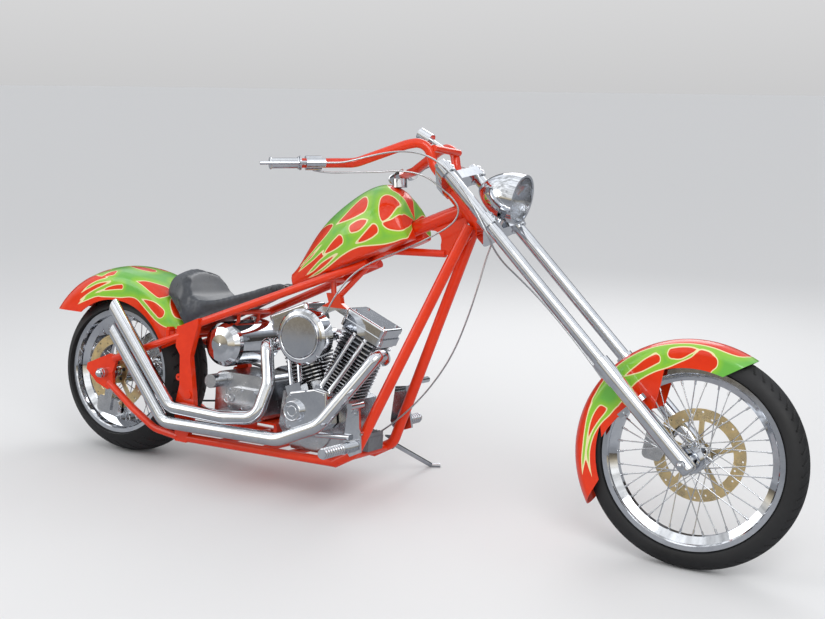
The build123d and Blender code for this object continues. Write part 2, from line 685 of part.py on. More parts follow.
def cam_cover():
    """Cam chest on the right with the round points cover and tappet blocks."""
    outer = -DRUM_HALF_W - CAM_T
    outline = [(842, 262), (858, 234), (1004, 250), (1026, 275), (1012, 386), (962, 392), (862, 368), (842, 345)]
    chest = profile(outline, outer + 4, -DRUM_HALF_W)
    chest = fillet(chest.faces().sort_by(Axis.Y)[0].edges(), 6)
    points = rod((886, outer, 305), (886, outer - 12, 305), 36)
    rim = rod((886, outer + 6, 305), (886, outer, 305), 42)
    blocks = []
    for lean in (-1, 1):
        blocks.append(cylinder_place(lean) * Pos(0, PUSHROD_Y + 2, TAPPET_W - 19) * Box(64, 42, 38))
    return chest.fuse(points, rim, *blocks)


def pushrods():
    """Two chrome tubes to each cylinder."""
    return [cylinder_place(lean) * bar for lean in (-1, 1) for bar in pushrod_bars(lean, PUSHROD_R)]


def air_cleaner():
    """Round chrome air cleaner with a raised face."""
    return spun([(0, -214), (70, -214), (74, -208), (CLEANER_R - 8, -206), (CLEANER_R, -198),
                 (CLEANER_R, CLEANER_IN), (0, CLEANER_IN)], CLEANER)


def carburettor():
    """Carburettor between the air cleaner and the manifold in the V."""
    body = rod(at_axle(CLEANER, CLEANER_IN), at_axle(CLEANER, -56), 32)
    bowl = Pos(CLEANER.X, -104, CLEANER.Z - 50) * Box(56, 60, 48)
    stub = rod(at_axle(CLEANER, -60), (CRANK.X, 0, CLEANER.Z), 23)
    manifold = rod((CRANK.X - 72, 0, CLEANER.Z), (CRANK.X + 72, 0, CLEANER.Z), 20)
    return body.fuse(bowl, stub, manifold)


def transmission():
    """Gearbox with its side cover, starter end and the drive pulley on its shaft."""
    case = Pos(592, -4, 308) * Box(216, 196, 168)
    case = fillet(case.edges().filter_by(Axis.Y), 24)
    side = Pos(622, -112, 300) * Box(130, 22, 84)
    side = fillet(side.edges().filter_by(Axis.Y), 20)
    starter = rod((496, -90, 356), (496, -152, 356), 26)
    arm = Pos(510, -94, 340) * Box(50, 20, 60)
    shaft = rod(at_axle(DRIVE, 80), at_axle(DRIVE, PRIMARY_IN), 20)
    pulley = rod(at_axle(DRIVE, BELT_Y - BELT_W / 2), at_axle(DRIVE, BELT_Y + BELT_W / 2), DRIVE_PULLEY_R)
    return case.fuse(side, starter, arm, shaft, pulley)


def rear_pulley():
    """Belt pulley whose boss seats on the hub's end, with a lightened web."""
    y_in, y_out = BELT_Y - BELT_W / 2, BELT_Y + BELT_W / 2
    bore = REAR_AXLE_R + SEAT_GAP
    ring = [(bore, REAR_HUB_HALF_W), (40, REAR_HUB_HALF_W), (44, y_in), (PULLEY_R, y_in), (PULLEY_R, y_out),
            (PULLEY_R - 12, y_out), (PULLEY_R - 16, y_in + 12), (60, y_in + 12), (54, y_out), (bore, y_out)]
    wheel = spun(ring, REAR_AXLE)
    holes = []
    for n in range(5):
        angle = radians(72 * n)
        at = REAR_AXLE + Vector(cos(angle), 0, sin(angle)) * 92
        holes.append(rod(at_axle(at, y_in - 2), at_axle(at, y_out + 2), 19))
    return wheel.cut(*holes)


def loop_face(rear, r_rear, front, r_front):
    """Side view of a band drawn tight round two circles."""
    lean = atan2(front[1] - rear[1], front[0] - rear[0])
    run = sqrt((front[0] - rear[0]) ** 2 + (front[1] - rear[1]) ** 2)
    swing = asin((r_rear - r_front) / run)

    def at(centre, radius, angle):
        return (centre[0] + radius * cos(angle), centre[1] + radius * sin(angle))

    up, down = lean + pi / 2 - swing, lean - pi / 2 + swing
    return make_face([
        Line(at(rear, r_rear, up), at(front, r_front, up)),
        ThreePointArc(at(front, r_front, up), at(front, r_front, lean), at(front, r_front, down)),
        Line(at(front, r_front, down), at(rear, r_rear, down)),
        ThreePointArc(at(rear, r_rear, down), at(rear, r_rear, lean + pi), at(rear, r_rear, up)),
    ])


def drive_belt():
    width = BELT_W - 2
    plane = Plane((0, BELT_Y + width / 2, 0), x_dir=(1, 0, 0), z_dir=(0, -1, 0))
    ends = [(REAR_AXLE.X, REAR_AXLE.Z), (DRIVE.X, DRIVE.Z)]
    inner = loop_face(ends[0], PULLEY_R + SEAT_GAP, ends[1], DRIVE_PULLEY_R + SEAT_GAP)
    outer = loop_face(ends[0], PULLEY_R + SEAT_GAP + BELT_T, ends[1], DRIVE_PULLEY_R + SEAT_GAP + BELT_T)
    return extrude(plane * outer, amount=width) - extrude(plane * inner, amount=width)


def primary_cover():
    """Long chrome cover over the clutch drive, with its round lid."""
    rear = Vector(618, 0, 300)
    plane = Plane((0, PRIMARY_OUT, 0), x_dir=(1, 0, 0), z_dir=(0, -1, 0))
    outline = loop_face((rear.X, rear.Z), 104, (CRANK.X, CRANK.Z), 72)
    body = extrude(plane * outline, amount=PRIMARY_OUT - PRIMARY_IN)
    body = fillet(body.faces().sort_by(Axis.Y)[-1].edges(), 14)
    lid = rod(at_axle(rear, PRIMARY_OUT), at_axle(rear, PRIMARY_OUT + 9), 66)
    neck_piece = rod(at_axle(CRANK, DRUM_HALF_W), at_axle(CRANK, PRIMARY_IN), 60)
    return body.fuse(lid, neck_piece)


def oil_tank():
    """Round tank across the frame, with domed ends and a filler neck."""
    rows = [(148, 0.0), (146, 0.44), (139, 0.76), (126, 0.94), (110, 1.0)]
    left = [(OIL_TANK_R * share, y) for y, share in rows]
    drum = spun([(r, -y) for r, y in left] + list(reversed(left)), OIL_TANK)
    filler = rod((500, 84, OIL_TANK.Z + OIL_TANK_R - 18), (500, 84, OIL_TANK.Z + OIL_TANK_R + 6), 15)
    return drum.fuse(filler)


def port_face(lean):
    """Centre and direction of a head's exhaust port."""
    s, c = sin(radians(lean * V_HALF_ANGLE)), cos(radians(V_HALF_ANGLE))
    u = lean * PORT_U
    at = Vector(CRANK.X + u * c + PORT_W * s, -PORT_Y, CRANK.Z + PORT_W * c - u * s)
    return at, Vector(lean * c, 0, -lean * s)


def exhaust_pipes():
    """Two pipes from the ports, swept along the right side to their slash-cut ends."""
    # Length out of the port, then the corners, the bends and the place of the end's cut.
    rows = [
        (1, 34, [(1184, -104, 545), (1018, -208, 275), (862, -222, 204), (347, -222, 190), (60, -222, 520)],
         [28, 35, 90, 120, 62], (85, -222, 490)),
        (-1, 46, [(722, -128, 520), (768, -165, 385), (752, -204, 262), (620, -222, 247), (372, -222, 250),
                  (48, -222, 618)], [26, 36, 90, 56, 60, 62], (78, -222, 580)),
    ]
    pipes = []
    for lean, reach, corners, bends, end in rows:
        start, out = port_face(lean)
        solid = bent_tube([start, start + out * reach, *corners], bends, PIPE_R, PIPE_R - PIPE_WALL)
        cut = Pos(end[0] - 150, end[1], end[2] + 60) * Rot(0, 12, 0) * Box(300, 120, 400)
        pipes.append(solid - cut)
    return pipes


def regulator():
    """Finned block on the front cross tube."""
    block = Pos(1102, 0, 205) * Box(56, 100, 49.4)
    fins = [Pos(1102 + x, 0, 236) * Box(4, 100, 16) for x in (-24, -12, 0, 12, 24)]
    return block.fuse(*fins)


FOOT_Y = 160.0
PEG_R = 16.0
PEG_FROM = 200.0
PEG_TO = 330.0


def foot_controls():
    """Plate on each downtube with a peg, and the brake pedal or shift lever ahead of it."""
    right = [(1106, 345), (1150, 352), (1166, 200), (1126, 180), (1096, 215)]
    left = [(1106, 392), (1150, 399), (1186, 250), (1126, 226), (1096, 262)]
    sets = []
    for side, outline, rise in ((-1, right, 0), (1, left, 45)):
        y = side * FOOT_Y
        plate = profile(outline, y - 6, y + 6)
        shank = rod((1118, y, 212 + rise), (1118, side * PEG_FROM, 212 + rise), PEG_R + 5)
        peg = rod((1118, side * PEG_FROM, 212 + rise), (1118, side * PEG_TO, 212 + rise), PEG_R)
        bosses = [rod((x, side * 118, z), (x, y, z), 10) for x, z in ((1140, 212 + rise), (1152, 262 + rise))]
        arm = rod((1128, y + side * 12, 330 + rise), (1176, y + side * 40, 372 + rise), 7)
        pivot = rod((1128, y, 330 + rise), (1128, y + side * 22, 330 + rise), 12)
        pad = rod((1176, y + side * 30, 372 + rise), (1176, y + side * 110, 372 + rise), 11)
        pieces = [shank, peg, *bosses, arm, pivot, pad]
        if side < 0:
            pieces.append(rod((1126, -172, 248), (990, -172, 238), 10))
        sets.append(plate.fuse(*pieces))
    return sets


def fork_tubes():
    return [rod(on_fork(FORK_OFFSET, y, SLIDER_TOP), on_fork(FORK_OFFSET, y, TUBE_TOP), TUBE_R)
            for y in (-TUBE_HALF_SPACING, TUBE_HALF_SPACING)]


def sliders():
    """Lower fork legs with their cups, axle bosses and fender lugs, and the caliper's lug."""
    legs = []
    for side in (-1, 1):
        y = side * TUBE_HALF_SPACING
        leg = rod(on_fork(FORK_OFFSET, y, SLIDER_BOTTOM), on_fork(FORK_OFFSET, y, SLIDER_TOP), SLIDER_R)
        lowest = min(leg.edges(), key=lambda edge: edge.center().Z)
        leg = leg.fillet(12, [lowest])
        cup = rod(on_fork(FORK_OFFSET, y, SLIDER_TOP - 82), on_fork(FORK_OFFSET, y, SLIDER_TOP), SLIDER_R + 2)
        boss_in = side * (TUBE_HALF_SPACING - SLIDER_R - 6)
        boss = rod(at_axle(FRONT_AXLE, boss_in), at_axle(FRONT_AXLE, y), 20)
        lug = STEER * Pos(44, side * 81, 230) * Box(108, 40, 18)
        pieces = [cup, boss, lug]
        if side > 0:
            out = FRONT_HUB_HALF_W + DISC_T / 2 + CALIPER_W / 2
            pieces.append(STEER * Pos(8, out + 4, 112) * Box(104, 8, 44))
        bore = rod(at_axle(FRONT_AXLE, y - 60), at_axle(FRONT_AXLE, y + 60), FRONT_AXLE_R + FIT_GAP)
        legs.append(leg.fuse(*pieces) - bore)
    return legs


def triple_trees():
    """Upper and lower clamps, each a hub with an arm to either fork tube, and the steering stem."""
    parts = []
    for w, over in ((LOWER_TREE_W, 3), (TOP_TREE_W, 0)):
        low = w - TREE_T / 2
        for side in (-1, 1):
            y = side * TUBE_HALF_SPACING
            arm = loop_face((TREE_HUB_U, 0), TREE_HUB_R, (FORK_OFFSET, y), CLAMP_R)
            parts.append(STEER * Pos(0, 0, low) * extrude(arm, amount=TREE_T))
            parts.append(rod(on_fork(FORK_OFFSET, y, low - 3), on_fork(FORK_OFFSET, y, low + TREE_T + over), CLAMP_R))
    stem = rod(on_fork(0, 0, LOWER_TREE_W), on_fork(0, 0, TOP_TREE_W), STEM_R)
    nut = rod(on_fork(0, 0, TOP_TREE_W), on_fork(0, 0, TOP_TREE_W + TREE_T / 2 + 10), 17)
    whole = stem.fuse(*parts, nut)
    bores = [rod(on_fork(FORK_OFFSET, y, LOWER_TREE_W - 60), on_fork(FORK_OFFSET, y, TOP_TREE_W + 60),
                 TUBE_R + FIT_GAP / 2) for y in (-TUBE_HALF_SPACING, TUBE_HALF_SPACING)]
    return whole.cut(*bores)


# The bar's places, from the foot of its riser on the top clamp; the right side mirrors the left.
BAR_FOOT = on_fork(28, 84, TOP_TREE_W + TREE_T / 2)
BAR_KNEE = on_fork(28, 84, TOP_TREE_W + TREE_T / 2 + 34)
BAR_BEND = BAR_FOOT + Vector(-259, 119, 16)
BAR_TIP = BAR_FOOT + Vector(-389, 249, 0)
BAR_TIE = BAR_FOOT + Vector(-26, 9, 83)
GRIP_L = 104.0
PERCH_BACK = 42.0


def bar_side(side):
    """Points of one side of the bar, from the top clamp to its tip."""
    rise = [BAR_FOOT + Vector(*step) for step in ((-49, 14, 106), (-114, 36, 90))]
    return [(p.X, side * p.Y, p.Z) for p in (BAR_FOOT, BAR_KNEE, *rise, BAR_BEND, BAR_TIP)]


def bar_run(side):
    """Direction of the bar's last straight run."""
    return Vector(BAR_TIP.X - BAR_BEND.X, side * (BAR_TIP.Y - BAR_BEND.Y), BAR_TIP.Z - BAR_BEND.Z).normalized()


def handlebar():
    """One-piece bar: each riser climbs, turns back and runs out to its grip."""
    sides = [bent_tube(bar_side(side), [60, 50, 90, 90], BAR_R) for side in (-1, 1)]
    tie = rod((BAR_TIE.X, -BAR_TIE.Y, BAR_TIE.Z), (BAR_TIE.X, BAR_TIE.Y, BAR_TIE.Z), BAR_R - 4)
    return sides[0].fuse(sides[1], tie)


def gauge():
    """Small round gauge on a stem above the bar's tie."""
    tie = Vector(BAR_TIE.X, 0, BAR_TIE.Z)
    cup = rod(tie + Vector(-107, 0, 55), tie + Vector(-61, 0, 33), 21)
    stem = rod(tie + Vector(-73, 0, 39), tie, 7)
    return cup.fuse(stem)


def grips():
    """Round grips that carry on from the bar's tips."""
    pieces = []
    for side in (-1, 1):
        start = Vector(BAR_TIP.X, side * BAR_TIP.Y, BAR_TIP.Z)
        run = bar_run(side)
        grip = rod(start, start + run * GRIP_L, GRIP_R)
        flange = rod(start, start + run * 5, GRIP_R + 6)
        pieces.append(grip.fuse(flange))
    return pieces


def perch_at(side):
    """Middle of the clamp that holds a lever on the bar."""
    return Vector(BAR_TIP.X, side * BAR_TIP.Y, BAR_TIP.Z) - bar_run(side) * PERCH_BACK


def perch_body(side):
    """Ends of a perch's cylinder, ahead of the bar and along it."""
    run = bar_run(side)
    ahead = Vector(run.Y * side, -run.X * side, 0).normalized()
    at = perch_at(side) + ahead * 34
    return at - run * 34, at + run * 30, run, ahead


def bar_controls():
    """Brake and clutch perches with their levers ahead of the grips."""
    pieces = []
    for side in (-1, 1):
        at = perch_at(side)
        inner, outer, run, ahead = perch_body(side)
        clamp = rod(at - run * 26, at + run * 26, 24) - rod(at - run * 30, at + run * 30, BAR_R + FIT_GAP)
        body = rod(inner, outer, 15)
        web = rod(at + ahead * 20, at + ahead * 34, 13)
        knee = outer + ahead * 8 + run * 24
        lever = rod(outer - run * 12, knee, 7).fuse(rod(knee, knee + run * 128 - ahead * 4, 6))
        pieces.append(clamp.fuse(web, body, lever))
    return pieces


LAMP_FOOT = on_fork(36, 0, LOWER_TREE_W)
LAMP = LAMP_FOOT + Vector(77, 0, 98)
LAMP_PITCH = 10.0
LAMP_R = 84.0
LAMP_L = 150.0
LENS_R = LAMP_R - 8
LENS_RISE = 10.0
LENS_T = 4.0


def lamp_place():
    return Location((LAMP.X, LAMP.Y, LAMP.Z), (0, 90 + LAMP_PITCH, 0))


def headlight():
    """Bullet shell with a bowl inside its rim, and the foot to the lower clamp."""
    section = make_face([
        Line((0, -LAMP_L), (0, -66)),
        ThreePointArc((0, -66), (50, -42), (LENS_R, -6)),
        Line((LENS_R, -6), (LENS_R, 6)),
        Line((LENS_R, 6), (LAMP_R, 6)),
        Line((LAMP_R, 6), (LAMP_R, -14)),
        ThreePointArc((LAMP_R, -14), (LAMP_R * 0.72, -100), (14, -LAMP_L)),
        Line((14, -LAMP_L), (0, -LAMP_L)),
    ])
    shell = lamp_place() * revolve(Plane.XZ * section, axis=Axis.Z)
    foot = rod(LAMP_FOOT + Vector(20, 0, 46), LAMP_FOOT, 14)
    return [shell.fuse(foot)]


def headlight_lens():
    """Slightly domed lens in the lamp's rim, between two like spheres."""
    r = LENS_R - FIT_GAP
    dome_r = (r ** 2 + LENS_RISE ** 2) / (2 * LENS_RISE)
    disc = Pos(0, 0, LENS_RISE / 2) * Cylinder(r, LENS_RISE + 12)
    outer = Pos(0, 0, 2 + LENS_RISE - dome_r) * Sphere(dome_r)
    inner = Pos(0, 0, 2 + LENS_RISE - dome_r - LENS_T) * Sphere(dome_r)
    return lamp_place() * ((disc & outer) - inner)


def front_axle():
    """Axle with its end caps and a spacer on each side of the hub."""
    reach = TUBE_HALF_SPACING + SLIDER_R
    shaft = rod(at_axle(FRONT_AXLE, -reach - 4), at_axle(FRONT_AXLE, reach + 4), FRONT_AXLE_R)
    caps = [rod(at_axle(FRONT_AXLE, s * reach), at_axle(FRONT_AXLE, s * (reach + 10)), 15) for s in (-1, 1)]
    start, end = FRONT_HUB_HALF_W + SEAT_GAP, TUBE_HALF_SPACING - SLIDER_R - 6
    spacers = [rod(at_axle(FRONT_AXLE, s * start), at_axle(FRONT_AXLE, s * end), FRONT_SPACER_R) for s in (-1, 1)]
    return shaft.fuse(*caps, *spacers)


def caliper(centre, angle_deg, y, radius):
    """Two-sided caliper body that straddles a disc's edge."""
    a = radians(angle_deg)
    at = centre + Vector(cos(a), 0, sin(a)) * (radius - 8) + Vector(0, y, 0)
    body = Box(66, CALIPER_W, 110)
    body = fillet(body.edges().filter_by(Axis.Y), 18)
    slot = Pos(-20, 0, 0) * Box(80, DISC_T + 2 * DISC_CLEARANCE, 130)
    return Location((at.X, at.Y, at.Z), (0, -angle_deg, 0)) * (body - slot)


def front_caliper():
    return caliper(FRONT_AXLE, FRONT_CALIPER_DEG, FRONT_HUB_HALF_W + DISC_T / 2, FRONT_DISC_R)


def rear_caliper():
    """Caliper on a plate that hangs from the axle's spacer."""
    y_disc = REAR_HUB_HALF_W + DISC_T / 2
    body = caliper(REAR_AXLE, REAR_CALIPER_DEG, -y_disc, REAR_DISC_R)
    y_in = -(y_disc + CALIPER_W / 2)
    eye = rod(at_axle(REAR_AXLE, y_in - 8), at_axle(REAR_AXLE, y_in), 30)
    place = Location((REAR_AXLE.X, 0, REAR_AXLE.Z), (0, -REAR_CALIPER_DEG, 0))
    arm = place * Pos(78, y_in - 3, 0) * Box(150, 10, 38)
    bore = rod(at_axle(REAR_AXLE, y_in - 20), at_axle(REAR_AXLE, y_in + 20), SPACER_R + FIT_GAP)
    return body.fuse(eye, arm) - bore


def stand_foot():
    """Centre of the foot's end, at the height where its pad touches the road."""
    height = STAND_PAD_R - REAR_SINK + STAND_FOOT_Y * SIN_L + STAND_FOOT_X * sin(PITCH)
    return Vector(STAND_FOOT_X, STAND_FOOT_Y, height / COS_L)


def stand_axis():
    """Axis that swings the leg from its foot on the road to its folded place."""
    leg = (stand_foot() - STAND_PIVOT).normalized()
    return leg.cross(STAND_FOLDED.normalized()).normalized()


def side_stand():
    """Leg with an eye on its pin and a foot that lies along the road."""
    foot, axis = stand_foot(), stand_axis()
    out = (foot - STAND_PIVOT).normalized()
    leg = rod(STAND_PIVOT + out * 10, foot, STAND_LEG_R)
    pad = rod(foot, foot + Vector(34, 16 * COS_L, 16 * SIN_L), STAND_PAD_R)
    heel = Pos(foot.X, foot.Y, foot.Z) * Sphere(STAND_PAD_R)
    eye = rod(STAND_PIVOT - axis * 12, STAND_PIVOT + axis * 12, STAND_EYE_R)
    hole = rod(STAND_PIVOT - axis * 14, STAND_PIVOT + axis * 14, STAND_PIN_R + SEAT_GAP)
    return leg.fuse(pad, heel, eye) - hole


def stand_bracket():
    """Two lugs on the left downtube, with the pin that the stand turns on."""
    axis = stand_axis()
    to_tube = Vector(0, RAIL_Y - STAND_PIVOT.Y, -6)
    reach = to_tube - axis * to_tube.dot(axis)
    pin = rod(STAND_PIVOT - axis * 22, STAND_PIVOT + axis * 22, STAND_PIN_R)
    parts = [rod(STAND_PIVOT - axis * 22, STAND_PIVOT - axis * 18.5, 9),
             rod(STAND_PIVOT + axis * 18.5, STAND_PIVOT + axis * 22, 9)]
    for start in (-18.5, 12.5):
        plane = Plane(STAND_PIVOT + axis * start, x_dir=reach, z_dir=axis)
        lug = Circle(13) + Pos(reach.length / 2, 0) * Rectangle(reach.length, 26)
        parts.append(extrude(plane * lug, amount=6))
    return pin.fuse(*parts)


# Routes of the cables, by hand, from the bar's perches.
def clutch_cable():
    """From the left perch past the headstock and down between the front tubes to the cases."""
    inner, _, run, _ = perch_body(1)
    route = [inner, inner - run * 60, (1142, 200, 1196), (1200, 176, 1206), (1270, 164, 1208), (1336, 160, 1196),
             (1394, 160, 1156), (1440, 158, 1102), (1464, 150, 1042), (1472, 130, 984), (1467, 104, 930),
             (1460, 84, 872), (1450, 73, 806), (1434, 71, 738), (1412, 76, 670), (1386, 85, 604), (1356, 91, 538),
             (1320, 91, 474), (1278, 87, 410), (1230, 82, 350), (1178, 78, 296), (1126, 76, 250), (1078, 75, 216),
             (1028, 75, 196)]
    return cord("clutch_cable", route, HOSE_R)


def throttle_cable():
    """From the right grip's clamp under the tank to the carburettor."""
    at, run = perch_at(-1), bar_run(-1)
    start = at - Vector(0, 0, 23)
    route = [start, start - run * 40 - Vector(0, 0, 10), (1102, -232, 1146), (1156, -186, 1152), (1212, -148, 1162),
             (1268, -114, 1162), (1314, -90, 1146), (1354, -78, 1116), (1397, -72, 1086), (1424, -68, 1050),
             (1412, -66, 1012), (1376, -64, 982), (1330, -62, 956), (1280, -60, 930), (1226, -60, 904),
             (1172, -62, 880), (1120, -70, 856), (1070, -82, 826), (1026, -92, 784), (990, -100, 734),
             (962, -104, 680), (938, -104, 630), (924, -104, 598)]
    return cord("throttle_cable", route, HOSE_R)


def brake_lines():
    """The front brake's hose to its caliper and the gauge's cable, which run down together."""
    inner, _, run, _ = perch_body(-1)
    top = [inner, inner - run * 60, (1146, -202, 1204), (1206, -176, 1222), (1276, -160, 1228), (1346, -156, 1214),
           (1408, -154, 1178), (1462, -152, 1128), (1508, -153, 1072), (1547, -153, 1014), (1574, -146, 968)]
    low = [(1584, -118, 928), (1599, -70, 886), (1630, -22, 846), (1669, 14, 803), (1713, 40, 756), (1760, 56, 706),
           (1808, 66, 656), (1856, 72, 604), (1904, 74, 552), (1950, 74, 501), (1999, 74, 459), (2051, 74, 433),
           (2104, 74, 426), (2126, 74, 404)]
    return [cord("brake_hose", top + low, HOSE_R)]


# Node, maker, moving body and the pieces whose surfaces its ends are cut to.
NODES = [
    ("neck_and_backbone", neck, "frame", ()),
    ("downtubes", downtubes, "frame", ("neck_and_backbone",)),
    ("rear_posts", rear_posts, "frame", ()),
    ("bottom_rails", bottom_rails, "frame", ("downtubes", "rear_posts")),
    ("seat_rails", seat_rails, "frame", ("rear_posts",)),
    ("oil_tank", oil_tank, "frame", ()),
    ("cross_tubes", cross_tubes, "frame",
     ("neck_and_backbone", "downtubes", "bottom_rails", "seat_rails", "oil_tank")),
    ("rear_struts", rear_struts, "frame", ("rear_posts",)),
    ("rear_fender", rear_fender, "frame", ()),
    ("tank", tank, "frame", ()),
    ("gas_cap", gas_cap, "frame", ("tank",)),
    ("seat", seat, "frame", ()),
    ("crankcase", crankcase, "frame", ()),
    ("cylinders", cylinders, "frame", ()),
    ("rocker_boxes", rocker_boxes, "frame", ()),
    ("engine_top_mount", mount_stays, "frame", ("neck_and_backbone", "cross_tubes", "rocker_boxes")),
    ("cam_cover", cam_cover, "frame", ("crankcase",)),
    ("pushrod_tubes", pushrods, "frame", ("rocker_boxes", "cam_cover")),
    ("air_cleaner", air_cleaner, "frame", ()),
    ("carburettor", carburettor, "frame", ("cylinders",)),
    ("transmission", transmission, "frame", ()),
    ("drive_belt", drive_belt, "frame", ()),
    ("primary_cover", primary_cover, "frame", ()),
    ("exhaust_pipes", exhaust_pipes, "frame", ()),
    ("regulator", regulator, "frame", ()),
    ("foot_controls", foot_controls, "frame", ("downtubes",)),
    ("rear_axle", rear_axle, "frame", ()),
    ("rear_caliper", rear_caliper, "frame", ()),
    ("stand_bracket", stand_bracket, "frame", ("downtubes",)),
    ("side_stand", side_stand, "side_stand", ()),
    ("triple_trees", triple_trees, "fork", ()),
    ("fork_tubes", fork_tubes, "fork", ()),
    ("sliders", sliders, "fork", ()),
    ("handlebar", handlebar, "fork", ()),
    ("bar_gauge", gauge, "fork", ("handlebar",)),
    ("grips", grips, "fork", ()),
    ("bar_controls", bar_controls, "fork", ()),
    ("headlight", headlight, "fork", ("triple_trees",)),
    ("headlight_lens", headlight_lens, "fork", ()),
    ("front_fender", front_fender, "fork", ()),
    ("front_axle", front_axle, "fork", ()),
    ("front_caliper", front_caliper, "fork", ()),
    ("brake_hose", brake_lines, "fork", ("front_caliper",)),
    ("front_tyre", lambda: wheel_tyre(FRONT_AXLE, FRONT_TYRE_R, FRONT_SECTION_R, FRONT_RIM_R, FRONT_RIM_HALF_W),
     "front_wheel", ()),
    ("front_rim", lambda: wheel_rim(FRONT_AXLE, FRONT_RIM_R, FRONT_RIM_HALF_W, FRONT_LIP_W), "front_wheel", ()),
    ("front_hub_spokes", front_wheel_hub, "front_wheel", ()),
    ("front_disc", front_disc, "front_wheel", ()),
    ("rear_tyre", lambda: wheel_tyre(REAR_AXLE, REAR_TYRE_R, REAR_SECTION_R, REAR_RIM_R, REAR_RIM_HALF_W),
     "rear_wheel", ()),
    ("rear_rim", lambda: wheel_rim(REAR_AXLE, REAR_RIM_R, REAR_RIM_HALF_W, REAR_LIP_W), "rear_wheel", ()),
    ("rear_hub_spokes", rear_wheel_hub, "rear_wheel", ()),
    ("rear_disc", rear_disc, "rear_wheel", ()),
    ("rear_pulley", rear_pulley, "rear_wheel", ()),
    ("clutch_cable", clutch_cable, "frame", ("crankcase",)),
    ("throttle_cable", throttle_cable, "frame", ("carburettor", "bar_controls")),
]


def separate(shape):
    """The single solids of a maker's result."""
    if isinstance(shape, (list, tuple)):
        return [solid for piece in shape for solid in separate(piece)]
    return list(shape.solids())


def build_all():
    """Every node's solids, each cut to the pieces that it meets, with the machine upright."""
    made = {}
    for name, make, _, cutters in NODES:
        solids = separate(make())
        for cutter in cutters:
            solids = [max(separate(solid.cut(*made[cutter])), key=lambda s: s.volume) for solid in solids]
        made[name] = solids
    return made


def stance():
    """Leans the machine onto its stand and lifts both tyres onto the road."""
    return Pos(0, 0, REAR_SINK) * Rot(0, degrees(PITCH), 0) * Rot(-LEAN, 0, 0)


def resting_place(made):
    """The stance, moved so that the origin is under the middle of the whole machine's box."""
    place = stance()
    box = Compound([place * solid for solids in made.values() for solid in solids]).bounding_box()
    middle = (box.min + box.max) / 2
    return Pos(-middle.X, -middle.Y, 0) * place


def main():
    os.makedirs("parts", exist_ok=True)
    made = build_all()
    place = resting_place(made)
    for name, solids in made.items():
        placed = [place * solid for solid in solids]
        shape = placed[0] if len(placed) == 1 else Compound(placed)
        export_step(shape, os.path.join("parts", name + ".step"))


if __name__ == "__main__":
    main()
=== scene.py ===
"""Dresses a long-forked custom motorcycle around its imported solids.

Lengths in this file are millimetres on the upright machine: x forward from the rear axle, y to the
rider's left and z up from the road. STANCE leans them onto the side stand, in metres.
"""
import logging
import math
from dataclasses import dataclass, field
from enum import Enum
from typing import Callable, Iterable, Optional, Sequence

import bmesh
import bpy
import numpy as np
from mathutils import Matrix, Vector


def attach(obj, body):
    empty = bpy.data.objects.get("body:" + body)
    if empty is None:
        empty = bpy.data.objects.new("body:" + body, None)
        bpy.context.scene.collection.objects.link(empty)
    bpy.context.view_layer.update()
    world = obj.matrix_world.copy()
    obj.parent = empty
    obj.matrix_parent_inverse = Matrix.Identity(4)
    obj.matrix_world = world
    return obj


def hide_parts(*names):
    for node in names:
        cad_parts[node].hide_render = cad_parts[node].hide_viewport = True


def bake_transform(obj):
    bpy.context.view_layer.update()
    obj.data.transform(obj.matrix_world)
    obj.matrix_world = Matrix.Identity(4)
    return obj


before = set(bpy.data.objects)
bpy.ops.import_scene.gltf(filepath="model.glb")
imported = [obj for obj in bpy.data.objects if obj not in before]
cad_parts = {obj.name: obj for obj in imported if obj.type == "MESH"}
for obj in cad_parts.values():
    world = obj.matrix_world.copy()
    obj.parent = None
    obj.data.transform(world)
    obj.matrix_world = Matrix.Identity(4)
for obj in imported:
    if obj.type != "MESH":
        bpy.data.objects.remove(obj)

logging.basicConfig(level=logging.INFO, format="%(message)s")
LOG = logging.getLogger("dresser")

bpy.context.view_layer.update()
MM = 0.001
WELD = 1e-6
LEAN_DEG = 7.4
PITCH_DEG = 0.017
SHIFT_MM = (-1125.763, -148.203, 1.046)
STANCE = (
    Matrix.Translation(Vector(SHIFT_MM) * MM)
    @ Matrix.Rotation(math.radians(PITCH_DEG), 4, "Y")
    @ Matrix.Rotation(math.radians(-LEAN_DEG), 4, "X")
)
RAKE = math.radians(46.4)
FORK_FOOT = (2214.6, 299.35)
REAR_AXLE = (0.0, 0.0, 325.4)
FRONT_AXLE = (2256.0, 0.0, 342.8)
CRANK = (925.0, 0.0, 240.0)
CLUTCH_XZ = (618.0, 300.0)
POINTS_COVER_XZ = (886.0, 305.0)
FENDER_CENTRE = (0.0, 0.0, 335.0)
FENDER_R = 404.0

Triple = tuple[float, float, float]
DepthOf = Callable[[np.ndarray], np.ndarray]


class Body(str, Enum):
    """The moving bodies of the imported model."""

    FRAME = "frame"
    FORK = "fork"
    FRONT_WHEEL = "front_wheel"
    REAR_WHEEL = "rear_wheel"
    STAND = "side_stand"


class Side(int, Enum):
    """Which side of the machine, as the sign of y."""

    RIGHT = -1
    LEFT = 1


def srgb(red: int, green: int, blue: int) -> tuple[float, float, float, float]:
    """A screen colour as the linear one that shaders take.

    Args:
        red, green, blue: the screen values from 0 to 255.

    Returns:
        Linear red, green, blue and an alpha of 1.
    """
    screen = (red / 255, green / 255, blue / 255)
    linear = [c / 12.92 if c <= 0.04045 else ((c + 0.055) / 1.055) ** 2.4 for c in screen]
    return (*linear, 1.0)


